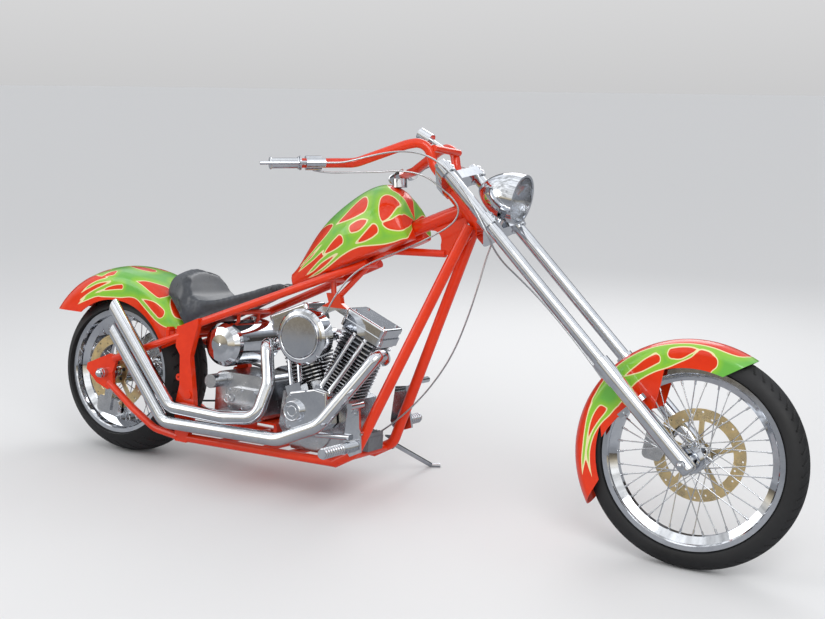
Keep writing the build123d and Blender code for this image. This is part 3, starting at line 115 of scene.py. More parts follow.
def placed(point: Sequence[float]) -> Vector:
    """A point of the upright machine in millimetres, leaned into the row frame.

    Args:
        point: x, y and z in millimetres.

    Returns:
        The point in metres in the row frame.
    """
    return STANCE @ (Vector(point) * MM)


def turned(direction: Sequence[float]) -> Vector:
    """A direction of the upright machine, leaned into the row frame."""
    return (STANCE.to_3x3() @ Vector(direction)).normalized()


def on_fork(ahead: float, y: float, along: float) -> Triple:
    """A point given ahead of, beside and along the steering axis, in millimetres."""
    sine, cosine = math.sin(RAKE), math.cos(RAKE)
    return (FORK_FOOT[0] + ahead * cosine - along * sine, y, FORK_FOOT[1] + ahead * sine + along * cosine)


def on_circle(x: float, z: float, radius: float, turns: Iterable[float]) -> list[tuple[float, float]]:
    """Places x and z on an upright circle, at turns in radians."""
    return [(x + radius * math.cos(t), z + radius * math.sin(t)) for t in turns]


def ramped(value: np.ndarray, start: float, end: float) -> np.ndarray:
    """From 0 at the start to 1 at the end, held beyond them."""
    return np.clip((value - start) / (end - start), 0.0, 1.0)


def smooth_between(a: np.ndarray, b: np.ndarray, c: np.ndarray, d: np.ndarray, t: float) -> np.ndarray:
    """A point between b and c on the smooth curve through four points, t from 0 to 1."""
    return 0.5 * (2 * b + (c - a) * t + (2 * a - 5 * b + 4 * c - d) * t * t + (3 * b - a - 3 * c + d) * t ** 3)


def new_object(name: str, mesh: bpy.types.Mesh) -> bpy.types.Object:
    """Links a mesh into the scene as an object at the origin."""
    piece = bpy.data.objects.new(name, mesh)
    bpy.context.scene.collection.objects.link(piece)
    return piece


def mesh_from(name: str, points: Iterable[Sequence[float]], faces: Iterable[Sequence[int]]) -> bpy.types.Mesh:
    """A mesh from upright points and faces, leaned into place, with its normals outwards.

    Args:
        name: the mesh's name.
        points: upright points in millimetres.
        faces: lists of point numbers.

    Returns:
        The mesh in the row frame.
    """
    mesh = bpy.data.meshes.new(name)
    mesh.from_pydata([placed(p) for p in points], [], [tuple(f) for f in faces])
    tidy_normals(mesh)
    return mesh


def tidy_normals(mesh: bpy.types.Mesh) -> None:
    """Merges doubles and turns a closed mesh's faces outwards."""
    work = bmesh.new()
    work.from_mesh(mesh)
    bmesh.ops.remove_doubles(work, verts=work.verts, dist=WELD)
    bmesh.ops.recalc_face_normals(work, faces=work.faces)
    work.to_mesh(mesh)
    work.free()


def smooth(mesh: bpy.types.Mesh, angle_deg: float = 35.0) -> None:
    """Shades a mesh smooth, with edges sharper than the angle kept crisp."""
    limit = math.radians(angle_deg)
    work = bmesh.new()
    work.from_mesh(mesh)
    for face in work.faces:
        face.smooth = True
    for edge in work.edges:
        edge.smooth = len(edge.link_faces) == 2 and edge.calc_face_angle(0.0) < limit
    work.to_mesh(mesh)
    work.free()


def lofted(name: str, rings: Sequence[Sequence[Sequence[float]]], closed: bool) -> bpy.types.Mesh:
    """A skin over rings of equally many points.

    Args:
        name: the mesh's name.
        rings: each ring's upright points in millimetres.
        closed: whether the last ring joins the first; otherwise both ends are capped.

    Returns:
        The closed mesh in the row frame.
    """
    count, size = len(rings), len(rings[0])
    points = [p for ring in rings for p in ring]
    faces = []
    for a in range(count if closed else count - 1):
        b = (a + 1) % count
        for n in range(size):
            m = (n + 1) % size
            faces.append((a * size + n, a * size + m, b * size + m, b * size + n))
    if not closed:
        faces.append(tuple(range(size)))
        faces.append(tuple((count - 1) * size + n for n in reversed(range(size))))
    return mesh_from(name, points, faces)


def joined(name: str, meshes: Sequence[bpy.types.Mesh]) -> bpy.types.Mesh:
    """One mesh of several, which are used up."""
    work = bmesh.new()
    for mesh in meshes:
        work.from_mesh(mesh)
    whole = bpy.data.meshes.new(name)
    work.to_mesh(whole)
    work.free()
    for mesh in meshes:
        bpy.data.meshes.remove(mesh)
    return whole


def finish_piece(
    name: str,
    mesh: bpy.types.Mesh,
    material: bpy.types.Material,
    body: Body,
    replaces: Sequence[str] = (),
) -> None:
    """Turns a mesh into a piece of the model that rides on its body.

    Args:
        name: the piece's name.
        mesh: its mesh in the row frame.
        material: its finish.
        body: the body that it moves with.
        replaces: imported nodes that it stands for.
    """
    piece = new_object(name, mesh)
    mesh.materials.clear()
    mesh.materials.append(material)
    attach(piece, body.value)
    if replaces:
        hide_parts(*replaces)
    LOG.info("%s: %d faces on %s", name, len(mesh.polygons), body.value)


# Shader building


class Shader:
    """Short ways to add nodes to a material's or a group's tree."""

    def __init__(self, tree: bpy.types.NodeTree) -> None:
        """Starts on an existing tree."""
        self.tree = tree

    def add(self, kind: str, values: Optional[dict] = None, **props: object) -> bpy.types.Node:
        """Adds a node.

        Args:
            kind: the node's type without its ShaderNode prefix.
            values: unlinked input values by input name or number.
            props: the node's own properties.

        Returns:
            The node.
        """
        node = self.tree.nodes.new("ShaderNode" + kind)
        for key, value in props.items():
            setattr(node, key, value)
        for key, value in (values or {}).items():
            node.inputs[key].default_value = value
        return node

    def link(self, source: bpy.types.NodeSocket, target: bpy.types.NodeSocket) -> None:
        """Joins two sockets."""
        self.tree.links.new(source, target)

    def math(self, operation: str, a: object, b: object = 0.0) -> bpy.types.NodeSocket:
        """A Math node on two sockets or numbers.

        Returns:
            Its result.
        """
        node = self.add("Math", operation=operation)
        for number, value in enumerate((a, b)):
            if isinstance(value, bpy.types.NodeSocket):
                self.link(value, node.inputs[number])
            else:
                node.inputs[number].default_value = value
        return node.outputs[0]

    def ramp(self, source: bpy.types.NodeSocket, stops: Sequence[tuple]) -> bpy.types.NodeSocket:
        """A colour ramp with the given stops of place and colour.

        Returns:
            Its colour.
        """
        node = self.add("ValToRGB")
        elements = node.color_ramp.elements
        while len(elements) < len(stops):
            elements.new(1.0)
        for element, (place, colour) in zip(elements, stops):
            element.position = place
            element.color = colour
        self.link(source, node.inputs[0])
        return node.outputs[0]

    def mix(self, factor: object, first: object, second: object) -> bpy.types.NodeSocket:
        """Mixes two colours.

        Returns:
            The mixed colour.
        """
        node = self.add("Mix", data_type="RGBA")
        for number, value in ((0, factor), (6, first), (7, second)):
            if isinstance(value, bpy.types.NodeSocket):
                self.link(value, node.inputs[number])
            else:
                node.inputs[number].default_value = value
        return node.outputs[2]


def effect_group(name: str, inputs: Sequence[tuple], outputs: Sequence[tuple]) -> tuple:
    """An empty shader group with named sockets.

    Args:
        name: the group's name.
        inputs: name, socket type and default of each input.
        outputs: name and socket type of each output.

    Returns:
        The tree, its input node and its output node.
    """
    tree = bpy.data.node_groups.new(name, "ShaderNodeTree")
    for title, kind, default in inputs:
        tree.interface.new_socket(name=title, in_out="INPUT", socket_type=kind).default_value = default
    for title, kind in outputs:
        tree.interface.new_socket(name=title, in_out="OUTPUT", socket_type=kind)
    return tree, tree.nodes.new("NodeGroupInput"), tree.nodes.new("NodeGroupOutput")


def smudge_group() -> bpy.types.NodeTree:
    """Fine handling marks: a value round the middle of two roughnesses, and a slight tone."""
    tree, source, sink = effect_group(
        "handling_marks",
        [("Scale", "NodeSocketFloat", 9.0), ("Low", "NodeSocketFloat", 0.05), ("High", "NodeSocketFloat", 0.15)],
        [("Roughness", "NodeSocketFloat"), ("Tone", "NodeSocketFloat")],
    )
    shader = Shader(tree)
    place = shader.add("TexCoord").outputs["Object"]
    broad = shader.add("TexNoise", {"Detail": 5.0, "Roughness": 0.62})
    fine = shader.add("TexNoise", {"Detail": 3.0, "Roughness": 0.5})
    shader.link(place, broad.inputs["Vector"])
    shader.link(place, fine.inputs["Vector"])
    shader.link(source.outputs["Scale"], broad.inputs["Scale"])
    shader.link(shader.math("MULTIPLY", source.outputs["Scale"], 11.0), fine.inputs["Scale"])
    shares = [shader.math("MULTIPLY", noise.outputs[0], share) for noise, share in ((broad, 0.7), (fine, 0.3))]
    both = shader.math("ADD", *shares)
    spread = shader.add("MapRange", {"From Min": 0.35, "From Max": 0.68})
    shader.link(both, spread.inputs["Value"])
    shader.link(source.outputs["Low"], spread.inputs["To Min"])
    shader.link(source.outputs["High"], spread.inputs["To Max"])
    shader.link(spread.outputs[0], sink.inputs["Roughness"])
    shader.link(both, sink.inputs["Tone"])
    return tree


def grain_group() -> bpy.types.NodeTree:
    """Small grain as a height, from cells and noise at one scale."""
    tree, source, sink = effect_group(
        "fine_grain",
        [("Scale", "NodeSocketFloat", 400.0), ("Cells", "NodeSocketFloat", 0.5)],
        [("Height", "NodeSocketFloat")],
    )
    shader = Shader(tree)
    place = shader.add("TexCoord").outputs["Object"]
    cells = shader.add("TexVoronoi", {"Randomness": 1.0})
    noise = shader.add("TexNoise", {"Detail": 4.0, "Roughness": 0.6})
    for node in (cells, noise):
        shader.link(place, node.inputs["Vector"])
        shader.link(source.outputs["Scale"], node.inputs["Scale"])
    mixed = shader.add("Mix", data_type="FLOAT")
    shader.link(source.outputs["Cells"], mixed.inputs[0])
    shader.link(noise.outputs[0], mixed.inputs[2])
    shader.link(cells.outputs["Distance"], mixed.inputs[3])
    shader.link(mixed.outputs[0], sink.inputs["Height"])
    return tree


SMUDGES = smudge_group()
GRAIN = grain_group()


def use_group(shader: Shader, tree: bpy.types.NodeTree, values: dict) -> bpy.types.Node:
    """Places a group in a material with its own values."""
    node = shader.tree.nodes.new("ShaderNodeGroup")
    node.node_tree = tree
    for title, value in values.items():
        node.inputs[title].default_value = value
    return node


def principled(name: str, settings: dict) -> tuple:
    """A material with a principled shader.

    Args:
        name: the material's name.
        settings: constant values on the shader's own sockets.

    Returns:
        The material, its shader builder and the principled node.
    """
    material = bpy.data.materials.new(name)
    material.use_nodes = True
    tree = material.node_tree
    shader = Shader(tree)
    node = tree.nodes["Principled BSDF"]
    for title, value in settings.items():
        node.inputs[title].default_value = value
    return material, shader, node


def bump(shader: Shader, node: bpy.types.Node, height: bpy.types.NodeSocket, strength: float, depth: float) -> None:
    """Feeds a height to the shader's normal.

    Args:
        shader: the material's builder.
        node: the principled node.
        height: the height's socket.
        strength: the bump's strength.
        depth: its depth in metres.
    """
    relief = shader.add("Bump", {"Strength": strength, "Distance": depth})
    shader.link(height, relief.inputs["Height"])
    shader.link(relief.outputs["Normal"], node.inputs["Normal"])


def handle(shader: Shader, node: bpy.types.Node, scale: float, low: float, high: float) -> bpy.types.NodeSocket:
    """Gives a surface its handling marks.

    Args:
        shader: the material's builder.
        node: the principled node, whose roughness follows the marks.
        scale: the marks' scale.
        low, high: the roughness between which they vary.

    Returns:
        The marks' tone.
    """
    marks = use_group(shader, SMUDGES, {"Scale": scale, "Low": low, "High": high})
    shader.link(marks.outputs["Roughness"], node.inputs["Roughness"])
    return marks.outputs["Tone"]


def tint(shader: Shader, node: bpy.types.Node, source: bpy.types.NodeSocket, stops: Sequence[tuple]) -> None:
    """Colours the surface along a value, by stops of place and colour."""
    shader.link(shader.ramp(source, stops), node.inputs["Base Color"])


def upright_place(shader: Shader, centre: Triple = (0.0, 0.0, 0.0), turn_y: float = 0.0) -> bpy.types.NodeSocket:
    """Object coordinates turned back to the upright machine, in metres from a centre.

    Args:
        shader: the material's builder.
        centre: the upright point in millimetres that becomes the origin.
        turn_y: an extra turn about the machine's width, in degrees.

    Returns:
        The vector's socket.
    """
    matrix = STANCE @ Matrix.Translation(Vector(centre) * MM) @ Matrix.Rotation(math.radians(turn_y), 4, "Y")
    mapping = shader.add("Mapping", vector_type="TEXTURE")
    mapping.inputs["Location"].default_value = matrix.to_translation()
    mapping.inputs["Rotation"].default_value = matrix.to_euler("XYZ")
    shader.link(shader.add("TexCoord").outputs["Object"], mapping.inputs["Vector"])
    return mapping.outputs[0]


@dataclass(frozen=True)
class MetalFinish:
    """A bare or plated metal."""

    name: str
    colour: tuple
    dull: tuple
    low: float
    high: float
    scale: float = 9.0
    grain: float = 0.0

    def build(self) -> bpy.types.Material:
        """The metal with handling marks and, where it has grain, a fine relief."""
        material, shader, node = principled(self.name, {"Metallic": 1.0})
        tone = handle(shader, node, self.scale, self.low, self.high)
        tint(shader, node, tone, [(0.3, self.dull), (0.62, self.colour)])
        if self.grain:
            relief = use_group(shader, GRAIN, {"Scale": 900.0, "Cells": 0.2})
            bump(shader, node, relief.outputs["Height"], self.grain, 0.0002)
        return material


LACQUER = {"Metallic": 0.0, "Coat Weight": 0.7, "Coat Roughness": 0.03, "IOR": 1.3}


@dataclass(frozen=True)
class PaintFinish:
    """Candy paint under clear lacquer."""

    name: str
    colour: tuple
    shade: tuple

    def build(self) -> bpy.types.Material:
        """The lacquered paint, slightly deeper in places."""
        material, shader, node = principled(self.name, LACQUER)
        tint(shader, node, handle(shader, node, 4.0, 0.3, 0.4), [(0.3, self.shade), (0.62, self.colour)])
        return material


@dataclass(frozen=True)
class FlameFinish:
    """Green flames with a pale stripe at their edge, over the orange, under lacquer."""

    name: str
    ground: tuple
    ground_shade: tuple
    light: tuple
    deep: tuple
    stripe: tuple
    stripe_half_mm: float = 1.8
    fade_mm: float = 34.0

    def build(self) -> bpy.types.Material:
        """The paint, which reads its distance into a flame from the piece's own attribute."""
        material, shader, node = principled(self.name, LACQUER)
        depth = shader.add("Attribute", attribute_name="flame_mm", attribute_type="GEOMETRY").outputs["Fac"]
        tone = handle(shader, node, 4.0, 0.28, 0.38)
        ground = shader.ramp(tone, [(0.3, self.ground_shade), (0.62, self.ground)])
        fade = shader.add("MapRange", {"From Min": 0.0, "From Max": self.fade_mm})
        shader.link(depth, fade.inputs["Value"])
        place = upright_place(shader)
        cloud = shader.add("TexNoise", {"Scale": 6.0, "Detail": 2.0})
        shader.link(place, cloud.inputs["Vector"])
        drift = shader.math("MULTIPLY", shader.math("SUBTRACT", cloud.outputs[0], 0.5), 0.9)
        green = shader.ramp(shader.math("ADD", fade.outputs[0], drift), [(0.05, self.light), (0.8, self.deep)])
        inside = shader.add("MapRange", {"From Min": -0.5, "From Max": 0.5})
        shader.link(depth, inside.inputs["Value"])
        painted = shader.mix(inside.outputs[0], ground, green)
        off = shader.math("ABSOLUTE", depth)
        line = shader.add("MapRange", {"From Min": self.stripe_half_mm + 0.4, "From Max": self.stripe_half_mm - 0.4})
        shader.link(off, line.inputs["Value"])
        shader.link(shader.mix(line.outputs[0], painted, self.stripe), node.inputs["Base Color"])
        return material


@dataclass(frozen=True)
class StayFinish:
    """A plated bracket whose stays are painted above a height."""

    name: str
    paint: tuple
    plate: tuple
    from_mm: float

    def build(self) -> bpy.types.Material:
        """Plate below the height and lacquer above it."""
        material, shader, node = principled(self.name, {"Coat Roughness": 0.04})
        local = shader.add("SeparateXYZ")
        shader.link(upright_place(shader), local.inputs[0])
        painted = shader.math("GREATER_THAN", local.outputs[2], self.from_mm * MM)
        handle(shader, node, 12.0, 0.12, 0.26)
        shader.link(shader.mix(painted, self.plate, self.paint), node.inputs["Base Color"])
        shader.link(shader.math("SUBTRACT", 1.0, painted), node.inputs["Metallic"])
        shader.link(painted, node.inputs["Coat Weight"])
        return material


@dataclass(frozen=True)
class SoftFinish:
    """Rubber, leather or moulded plastic: a dark coat with grain."""

    name: str
    colour: tuple
    worn: tuple
    low: float
    high: float
    scale: float
    relief: float
    cells: float = 0.5
    depth: float = 0.0004
    coat: float = 0.0

    def build(self) -> bpy.types.Material:
        """The dark coat, paler where it is handled."""
        material, shader, node = principled(
            self.name, {"Metallic": 0.0, "Coat Weight": self.coat, "Coat Roughness": 0.3}
        )
        tone = handle(shader, node, 7.0, self.low, self.high)
        tint(shader, node, tone, [(0.35, self.colour), (0.68, self.worn)])
        grain = use_group(shader, GRAIN, {"Scale": self.scale, "Cells": self.cells})
        bump(shader, node, grain.outputs["Height"], self.relief, self.depth)
        return material


@dataclass(frozen=True)
class FinFinish:
    """Black barrels whose fins are polished at their edges."""

    name: str
    black: tuple
    bright: tuple
    crank: Triple = CRANK
    half_angle: float = 22.5
    edge_mm: float = 68.0

    def build(self) -> bpy.types.Material:
        """The finish, bright only near the fins' outer edges."""
        material, shader, node = principled(self.name, {})
        reach = []
        for lean in (1, -1):
            local = shader.add("SeparateXYZ")
            shader.link(upright_place(shader, self.crank, lean * self.half_angle), local.inputs[0])
            across = shader.math("ABSOLUTE", local.outputs[0])
            wide = shader.math("ABSOLUTE", local.outputs[1])
            reach.append(shader.math("MAXIMUM", across, wide))
        edge = shader.math("MINIMUM", reach[0], reach[1])
        band = {"From Min": (self.edge_mm - 5.0) * MM, "From Max": (self.edge_mm + 0.5) * MM}
        bright = shader.add("MapRange", band)
        shader.link(edge, bright.inputs["Value"])
        shader.link(shader.mix(bright.outputs[0], self.black, self.bright), node.inputs["Base Color"])
        shader.link(bright.outputs[0], node.inputs["Metallic"])
        rough = shader.add("MapRange", {"From Min": 0.0, "From Max": 1.0, "To Min": 0.5, "To Max": 0.22})
        shader.link(bright.outputs[0], rough.inputs["Value"])
        shader.link(rough.outputs[0], node.inputs["Roughness"])
        grain = use_group(shader, GRAIN, {"Scale": 700.0, "Cells": 0.4})
        bump(shader, node, grain.outputs["Height"], 0.25, 0.0002)
        return material


@dataclass(frozen=True)
class DiscFinish:
    """A gold brake disc, turned in fine rings."""

    name: str
    centre: Triple
    gold: tuple
    worn: tuple

    def build(self) -> bpy.types.Material:
        """The disc, with turning marks round it."""
        material, shader, node = principled(self.name, {"Metallic": 1.0})
        local = shader.add("SeparateXYZ")
        shader.link(upright_place(shader, self.centre), local.inputs[0])
        square = shader.math(
            "ADD",
            shader.math("MULTIPLY", local.outputs[0], local.outputs[0]),
            shader.math("MULTIPLY", local.outputs[2], local.outputs[2]),
        )
        rings = shader.math("SINE", shader.math("MULTIPLY", shader.math("SQRT", square), 5200.0))
        tint(shader, node, handle(shader, node, 30.0, 0.24, 0.4), [(0.35, self.worn), (0.62, self.gold)])
        bump(shader, node, rings, 0.15, 0.00005)
        return material


@dataclass(frozen=True)
class BraidFinish:
    """A braided steel line."""

    name: str
    light: tuple
    dark: tuple

    def build(self) -> bpy.types.Material:
        """The braid, from small crossed cells."""
        material, shader, node = principled(self.name, {"Metallic": 1.0, "Roughness": 0.32})
        grain = use_group(shader, GRAIN, {"Scale": 1100.0, "Cells": 0.9})
        tint(shader, node, grain.outputs["Height"], [(0.15, self.dark), (0.5, self.light)])
        bump(shader, node, grain.outputs["Height"], 0.5, 0.0003)
        return material


@dataclass(frozen=True)
class GlassFinish:
    """Clear lamp glass."""

    name: str

    def build(self) -> bpy.types.Material:
        """The glass, with faint moulded flutes."""
        material, shader, node = principled(
            self.name,
            {"Metallic": 0.0, "Transmission Weight": 1.0, "IOR": 1.45, "Base Color": (0.95, 0.97, 1.0, 1.0)},
        )
        local = shader.add("SeparateXYZ")
        shader.link(upright_place(shader), local.inputs[0])
        flutes = shader.math("SINE", shader.math("MULTIPLY", local.outputs[1], 900.0))
        handle(shader, node, 20.0, 0.02, 0.06)
        bump(shader, node, flutes, 0.35, 0.0006)
        return material


@dataclass
class Palette:
    """Every finish of the machine, built once."""

    chrome: bpy.types.Material = field(init=False)
    alloy: bpy.types.Material = field(init=False)
    steel: bpy.types.Material = field(init=False)
    orange: bpy.types.Material = field(init=False)
    flame: bpy.types.Material = field(init=False)
    leather: bpy.types.Material = field(init=False)
    rubber: bpy.types.Material = field(init=False)
    tyre: bpy.types.Material = field(init=False)
    fins: bpy.types.Material = field(init=False)
    grey: bpy.types.Material = field(init=False)
    braid: bpy.types.Material = field(init=False)
    glass: bpy.types.Material = field(init=False)
    front_disc: bpy.types.Material = field(init=False)
    rear_disc: bpy.types.Material = field(init=False)
    stays: bpy.types.Material = field(init=False)

    def __post_init__(self) -> None:
        """Builds the materials."""
        orange, orange_shade = srgb(232, 56, 4), srgb(214, 42, 3)
        gold, worn = srgb(238, 212, 158), srgb(206, 190, 156)
        self.chrome = MetalFinish("mirror_plate", srgb(222, 224, 227), srgb(196, 199, 205), 0.03, 0.09).build()
        self.alloy = MetalFinish(
            "polished_cast_alloy", srgb(212, 214, 217), srgb(176, 178, 182), 0.16, 0.3, 14.0, 0.1
        ).build()
        self.steel = MetalFinish("dark_steel", srgb(120, 122, 126), srgb(86, 88, 92), 0.28, 0.45, 20.0, 0.15).build()
        self.orange = PaintFinish("orange_lacquer", orange, orange_shade).build()
        self.flame = FlameFinish(
            "flame_lacquer", orange, orange_shade, srgb(148, 202, 50), srgb(108, 184, 72), srgb(240, 226, 172)
        ).build()
        # Black leather: the dark tones are its own colour, lifted and tinted blue-grey as a painted sheen of the sky.
        self.leather = SoftFinish(
            "black_hide", srgb(34, 37, 42), srgb(60, 65, 74), 0.26, 0.4, 420.0, 0.3, 0.8, 0.0005, 0.35
        ).build()
        self.rubber = SoftFinish("moulded_rubber", srgb(24, 24, 25), srgb(46, 46, 47), 0.45, 0.65, 800.0, 0.3).build()
        self.tyre = SoftFinish("tyre_rubber", srgb(17, 17, 18), srgb(34, 34, 36), 0.5, 0.72, 600.0, 0.35).build()
        self.fins = FinFinish("polished_fins", srgb(48, 50, 54), srgb(222, 223, 226)).build()
        self.grey = SoftFinish("grey_coat", srgb(92, 95, 100), srgb(120, 123, 128), 0.4, 0.55, 700.0, 0.3).build()
        self.braid = BraidFinish("braided_line", srgb(206, 208, 210), srgb(90, 92, 96)).build()
        self.glass = GlassFinish("lamp_glass").build()
        self.front_disc = DiscFinish("front_disc", FRONT_AXLE, gold, worn).build()
        self.rear_disc = DiscFinish("rear_disc", REAR_AXLE, gold, worn).build()
        self.stays = StayFinish("painted_stays", orange, srgb(206, 208, 212), 668.0).build()


# Repeats, by Geometry Nodes


class Repeat:
    """A Geometry Nodes tree that sets one small shape on every point of a mesh."""

    def __init__(self, name: str, inputs: Sequence[tuple]) -> None:
        """Starts the tree.

        Args:
            name: the tree's name.
            inputs: name, socket type and default of each named size.
        """
        self.tree = bpy.data.node_groups.new(name, "GeometryNodeTree")
        face = self.tree.interface
        face.new_socket(name="Geometry", in_out="INPUT", socket_type="NodeSocketGeometry")
        for title, kind, default in inputs:
            face.new_socket(name=title, in_out="INPUT", socket_type=kind).default_value = default
        face.new_socket(name="Material", in_out="INPUT", socket_type="NodeSocketMaterial")
        face.new_socket(name="Geometry", in_out="OUTPUT", socket_type="NodeSocketGeometry")
        self.source = self.tree.nodes.new("NodeGroupInput")
        self.sink = self.tree.nodes.new("NodeGroupOutput")

    def add(self, kind: str, **props: object) -> bpy.types.Node:
        """Adds a node by its full type name."""
        node = self.tree.nodes.new(kind)
        for key, value in props.items():
            setattr(node, key, value)
        return node

    def link(self, source: bpy.types.NodeSocket, target: bpy.types.NodeSocket) -> None:
        """Joins two sockets."""
        self.tree.links.new(source, target)

    def share(self, socket: bpy.types.NodeSocket, factor: float) -> bpy.types.NodeSocket:
        """A number times a fixed factor."""
        node = self.add("ShaderNodeMath", operation="MULTIPLY")
        node.inputs[1].default_value = factor
        self.link(socket, node.inputs[0])
        return node.outputs[0]

    def both(self, first: bpy.types.NodeSocket, second: bpy.types.NodeSocket) -> bpy.types.NodeSocket:
        """Two shapes as one."""
        node = self.add("GeometryNodeJoinGeometry")
        self.link(first, node.inputs[0])
        self.link(second, node.inputs[0])
        return node.outputs[0]

    def lifted(self, mesh: bpy.types.NodeSocket, height: bpy.types.NodeSocket) -> bpy.types.NodeSocket:
        """A shape moved up its own axis by a number."""
        offset = self.add("ShaderNodeCombineXYZ")
        self.link(height, offset.inputs[2])
        move = self.add("GeometryNodeTransform")
        self.link(mesh, move.inputs["Geometry"])
        self.link(offset.outputs[0], move.inputs["Translation"])
        return move.outputs[0]

    def drum(self, sides: object, radius: bpy.types.NodeSocket, depth: bpy.types.NodeSocket) -> bpy.types.NodeSocket:
        """A cylinder that stands on its point."""
        node = self.add("GeometryNodeMeshCylinder")
        if isinstance(sides, bpy.types.NodeSocket):
            self.link(sides, node.inputs["Vertices"])
        else:
            node.inputs["Vertices"].default_value = sides
        self.link(radius, node.inputs["Radius"])
        self.link(depth, node.inputs["Depth"])
        return self.lifted(node.outputs["Mesh"], self.share(depth, 0.5))

    def close(self, shape: bpy.types.NodeSocket) -> None:
        """Sets the shape on the points, along each one's facing, and ends the tree."""
        facing = self.add("GeometryNodeInputNamedAttribute", data_type="FLOAT_VECTOR")
        facing.inputs["Name"].default_value = "facing"
        aim = self.add("FunctionNodeAlignRotationToVector", axis="Z")
        self.link(facing.outputs[0], aim.inputs["Vector"])
        spread = self.add("GeometryNodeInstanceOnPoints")
        self.link(self.source.outputs["Geometry"], spread.inputs["Points"])
        self.link(shape, spread.inputs["Instance"])
        self.link(aim.outputs[0], spread.inputs["Rotation"])
        real = self.add("GeometryNodeRealizeInstances")
        self.link(spread.outputs[0], real.inputs[0])
        paint = self.add("GeometryNodeSetMaterial")
        self.link(real.outputs[0], paint.inputs["Geometry"])
        self.link(self.source.outputs["Material"], paint.inputs["Material"])
        self.link(paint.outputs[0], self.sink.inputs[0])

    def identifier(self, title: str) -> str:
        """The identifier of a named input."""
        for item in self.tree.interface.items_tree:
            if item.item_type == "SOCKET" and item.in_out == "INPUT" and item.name == title:
                return item.identifier
        raise KeyError(title)

    def grow(self, name: str, points: Sequence[tuple], material: bpy.types.Material, sizes: dict) -> bpy.types.Mesh:
        """Grows the shapes and turns them into a plain mesh.

        Args:
            name: the mesh's name.
            points: pairs of an upright point in millimetres and the direction it faces.
            material: the shapes' finish.
            sizes: the tree's named sizes, in metres.

        Returns:
            The realized mesh in the row frame.
        """
        seed = bpy.data.meshes.new(name + "_points")
        seed.from_pydata([placed(p) for p, _ in points], [], [])
        facing = seed.attributes.new("facing", "FLOAT_VECTOR", "POINT")
        facing.data.foreach_set("vector", [c for _, d in points for c in turned(d)])
        carrier = new_object(name + "_points", seed)
        modifier = carrier.modifiers.new("repeat", "NODES")
        modifier.node_group = self.tree
        for title, value in {**sizes, "Material": material}.items():
            modifier[self.identifier(title)] = value
        bpy.context.view_layer.update()
        graph = bpy.context.evaluated_depsgraph_get()
        mesh = bpy.data.meshes.new_from_object(carrier.evaluated_get(graph))
        carrier.modifiers.remove(modifier)
        bpy.data.objects.remove(carrier)
        mesh.name = name
        if "facing" in mesh.attributes:
            mesh.attributes.remove(mesh.attributes["facing"])
        smooth(mesh, 40)
        return mesh


def fit_set(
    repeat: Repeat,
    name: str,
    points: Sequence[tuple],
    material: bpy.types.Material,
    body: Body,
    sizes_mm: dict,
) -> None:
    """Grows one set of like shapes and finishes it as a piece.

    Args:
        repeat: the shape's tree.
        name: the piece's name.
        points: pairs of upright point and facing.
        material: its finish.
        body: what carries the set.
        sizes_mm: the tree's named sizes in millimetres, and its count of sides.
    """
    sizes = {title: value if title == "Sides" else value * MM for title, value in sizes_mm.items()}
    finish_piece(name, repeat.grow(name, points, material, sizes), material, body)


def bolt_tree() -> Repeat:
    """A bolt head on a washer, with as many sides as asked."""
    tree = Repeat(
        "bolt_heads",
        [("Head Radius", "NodeSocketFloat", 0.005), ("Head Height", "NodeSocketFloat", 0.004),
         ("Washer", "NodeSocketFloat", 0.001), ("Sides", "NodeSocketInt", 6)],
    )
    out = tree.source.outputs
    head = tree.drum(out["Sides"], out["Head Radius"], out["Head Height"])
    washer = tree.drum(20, tree.share(out["Head Radius"], 1.3), out["Washer"])
    tree.close(tree.both(head, washer))
    return tree


def dome_tree() -> Repeat:
    """A domed nut: a hexagon with a round cap."""
    tree = Repeat(
        "domed_nuts",
        [("Nut Radius", "NodeSocketFloat", 0.006), ("Nut Height", "NodeSocketFloat", 0.005)],
    )
    out = tree.source.outputs
    nut = tree.drum(6, out["Nut Radius"], out["Nut Height"])
    ball = tree.add("GeometryNodeMeshUVSphere")
    ball.inputs["Segments"].default_value = 16
    ball.inputs["Rings"].default_value = 10
    tree.link(tree.share(out["Nut Radius"], 0.8), ball.inputs["Radius"])
    tree.close(tree.both(nut, tree.lifted(ball.outputs["Mesh"], out["Nut Height"])))
    return tree


def ring_tree() -> Repeat:
    """A round rib about each point's facing."""
    tree = Repeat(
        "ring_ribs",
        [("Ring Radius", "NodeSocketFloat", 0.018), ("Rib Radius", "NodeSocketFloat", 0.002)],
    )
    out = tree.source.outputs
    ring = tree.add("GeometryNodeCurvePrimitiveCircle", mode="RADIUS")
    ring.inputs["Resolution"].default_value = 40
    tree.link(out["Ring Radius"], ring.inputs["Radius"])
    rib = tree.add("GeometryNodeCurvePrimitiveCircle", mode="RADIUS")
    rib.inputs["Resolution"].default_value = 10
    tree.link(out["Rib Radius"], rib.inputs["Radius"])
    skin = tree.add("GeometryNodeCurveToMesh")
    tree.link(ring.outputs[0], skin.inputs["Curve"])
    tree.link(rib.outputs[0], skin.inputs["Profile Curve"])
    tree.close(skin.outputs[0])
    return tree


@dataclass
class Trees:
    """The repeats that the sub-assemblies share."""

    bolts: Repeat = field(default_factory=bolt_tree)
    domes: Repeat = field(default_factory=dome_tree)
    rings: Repeat = field(default_factory=ring_tree)


# Flames


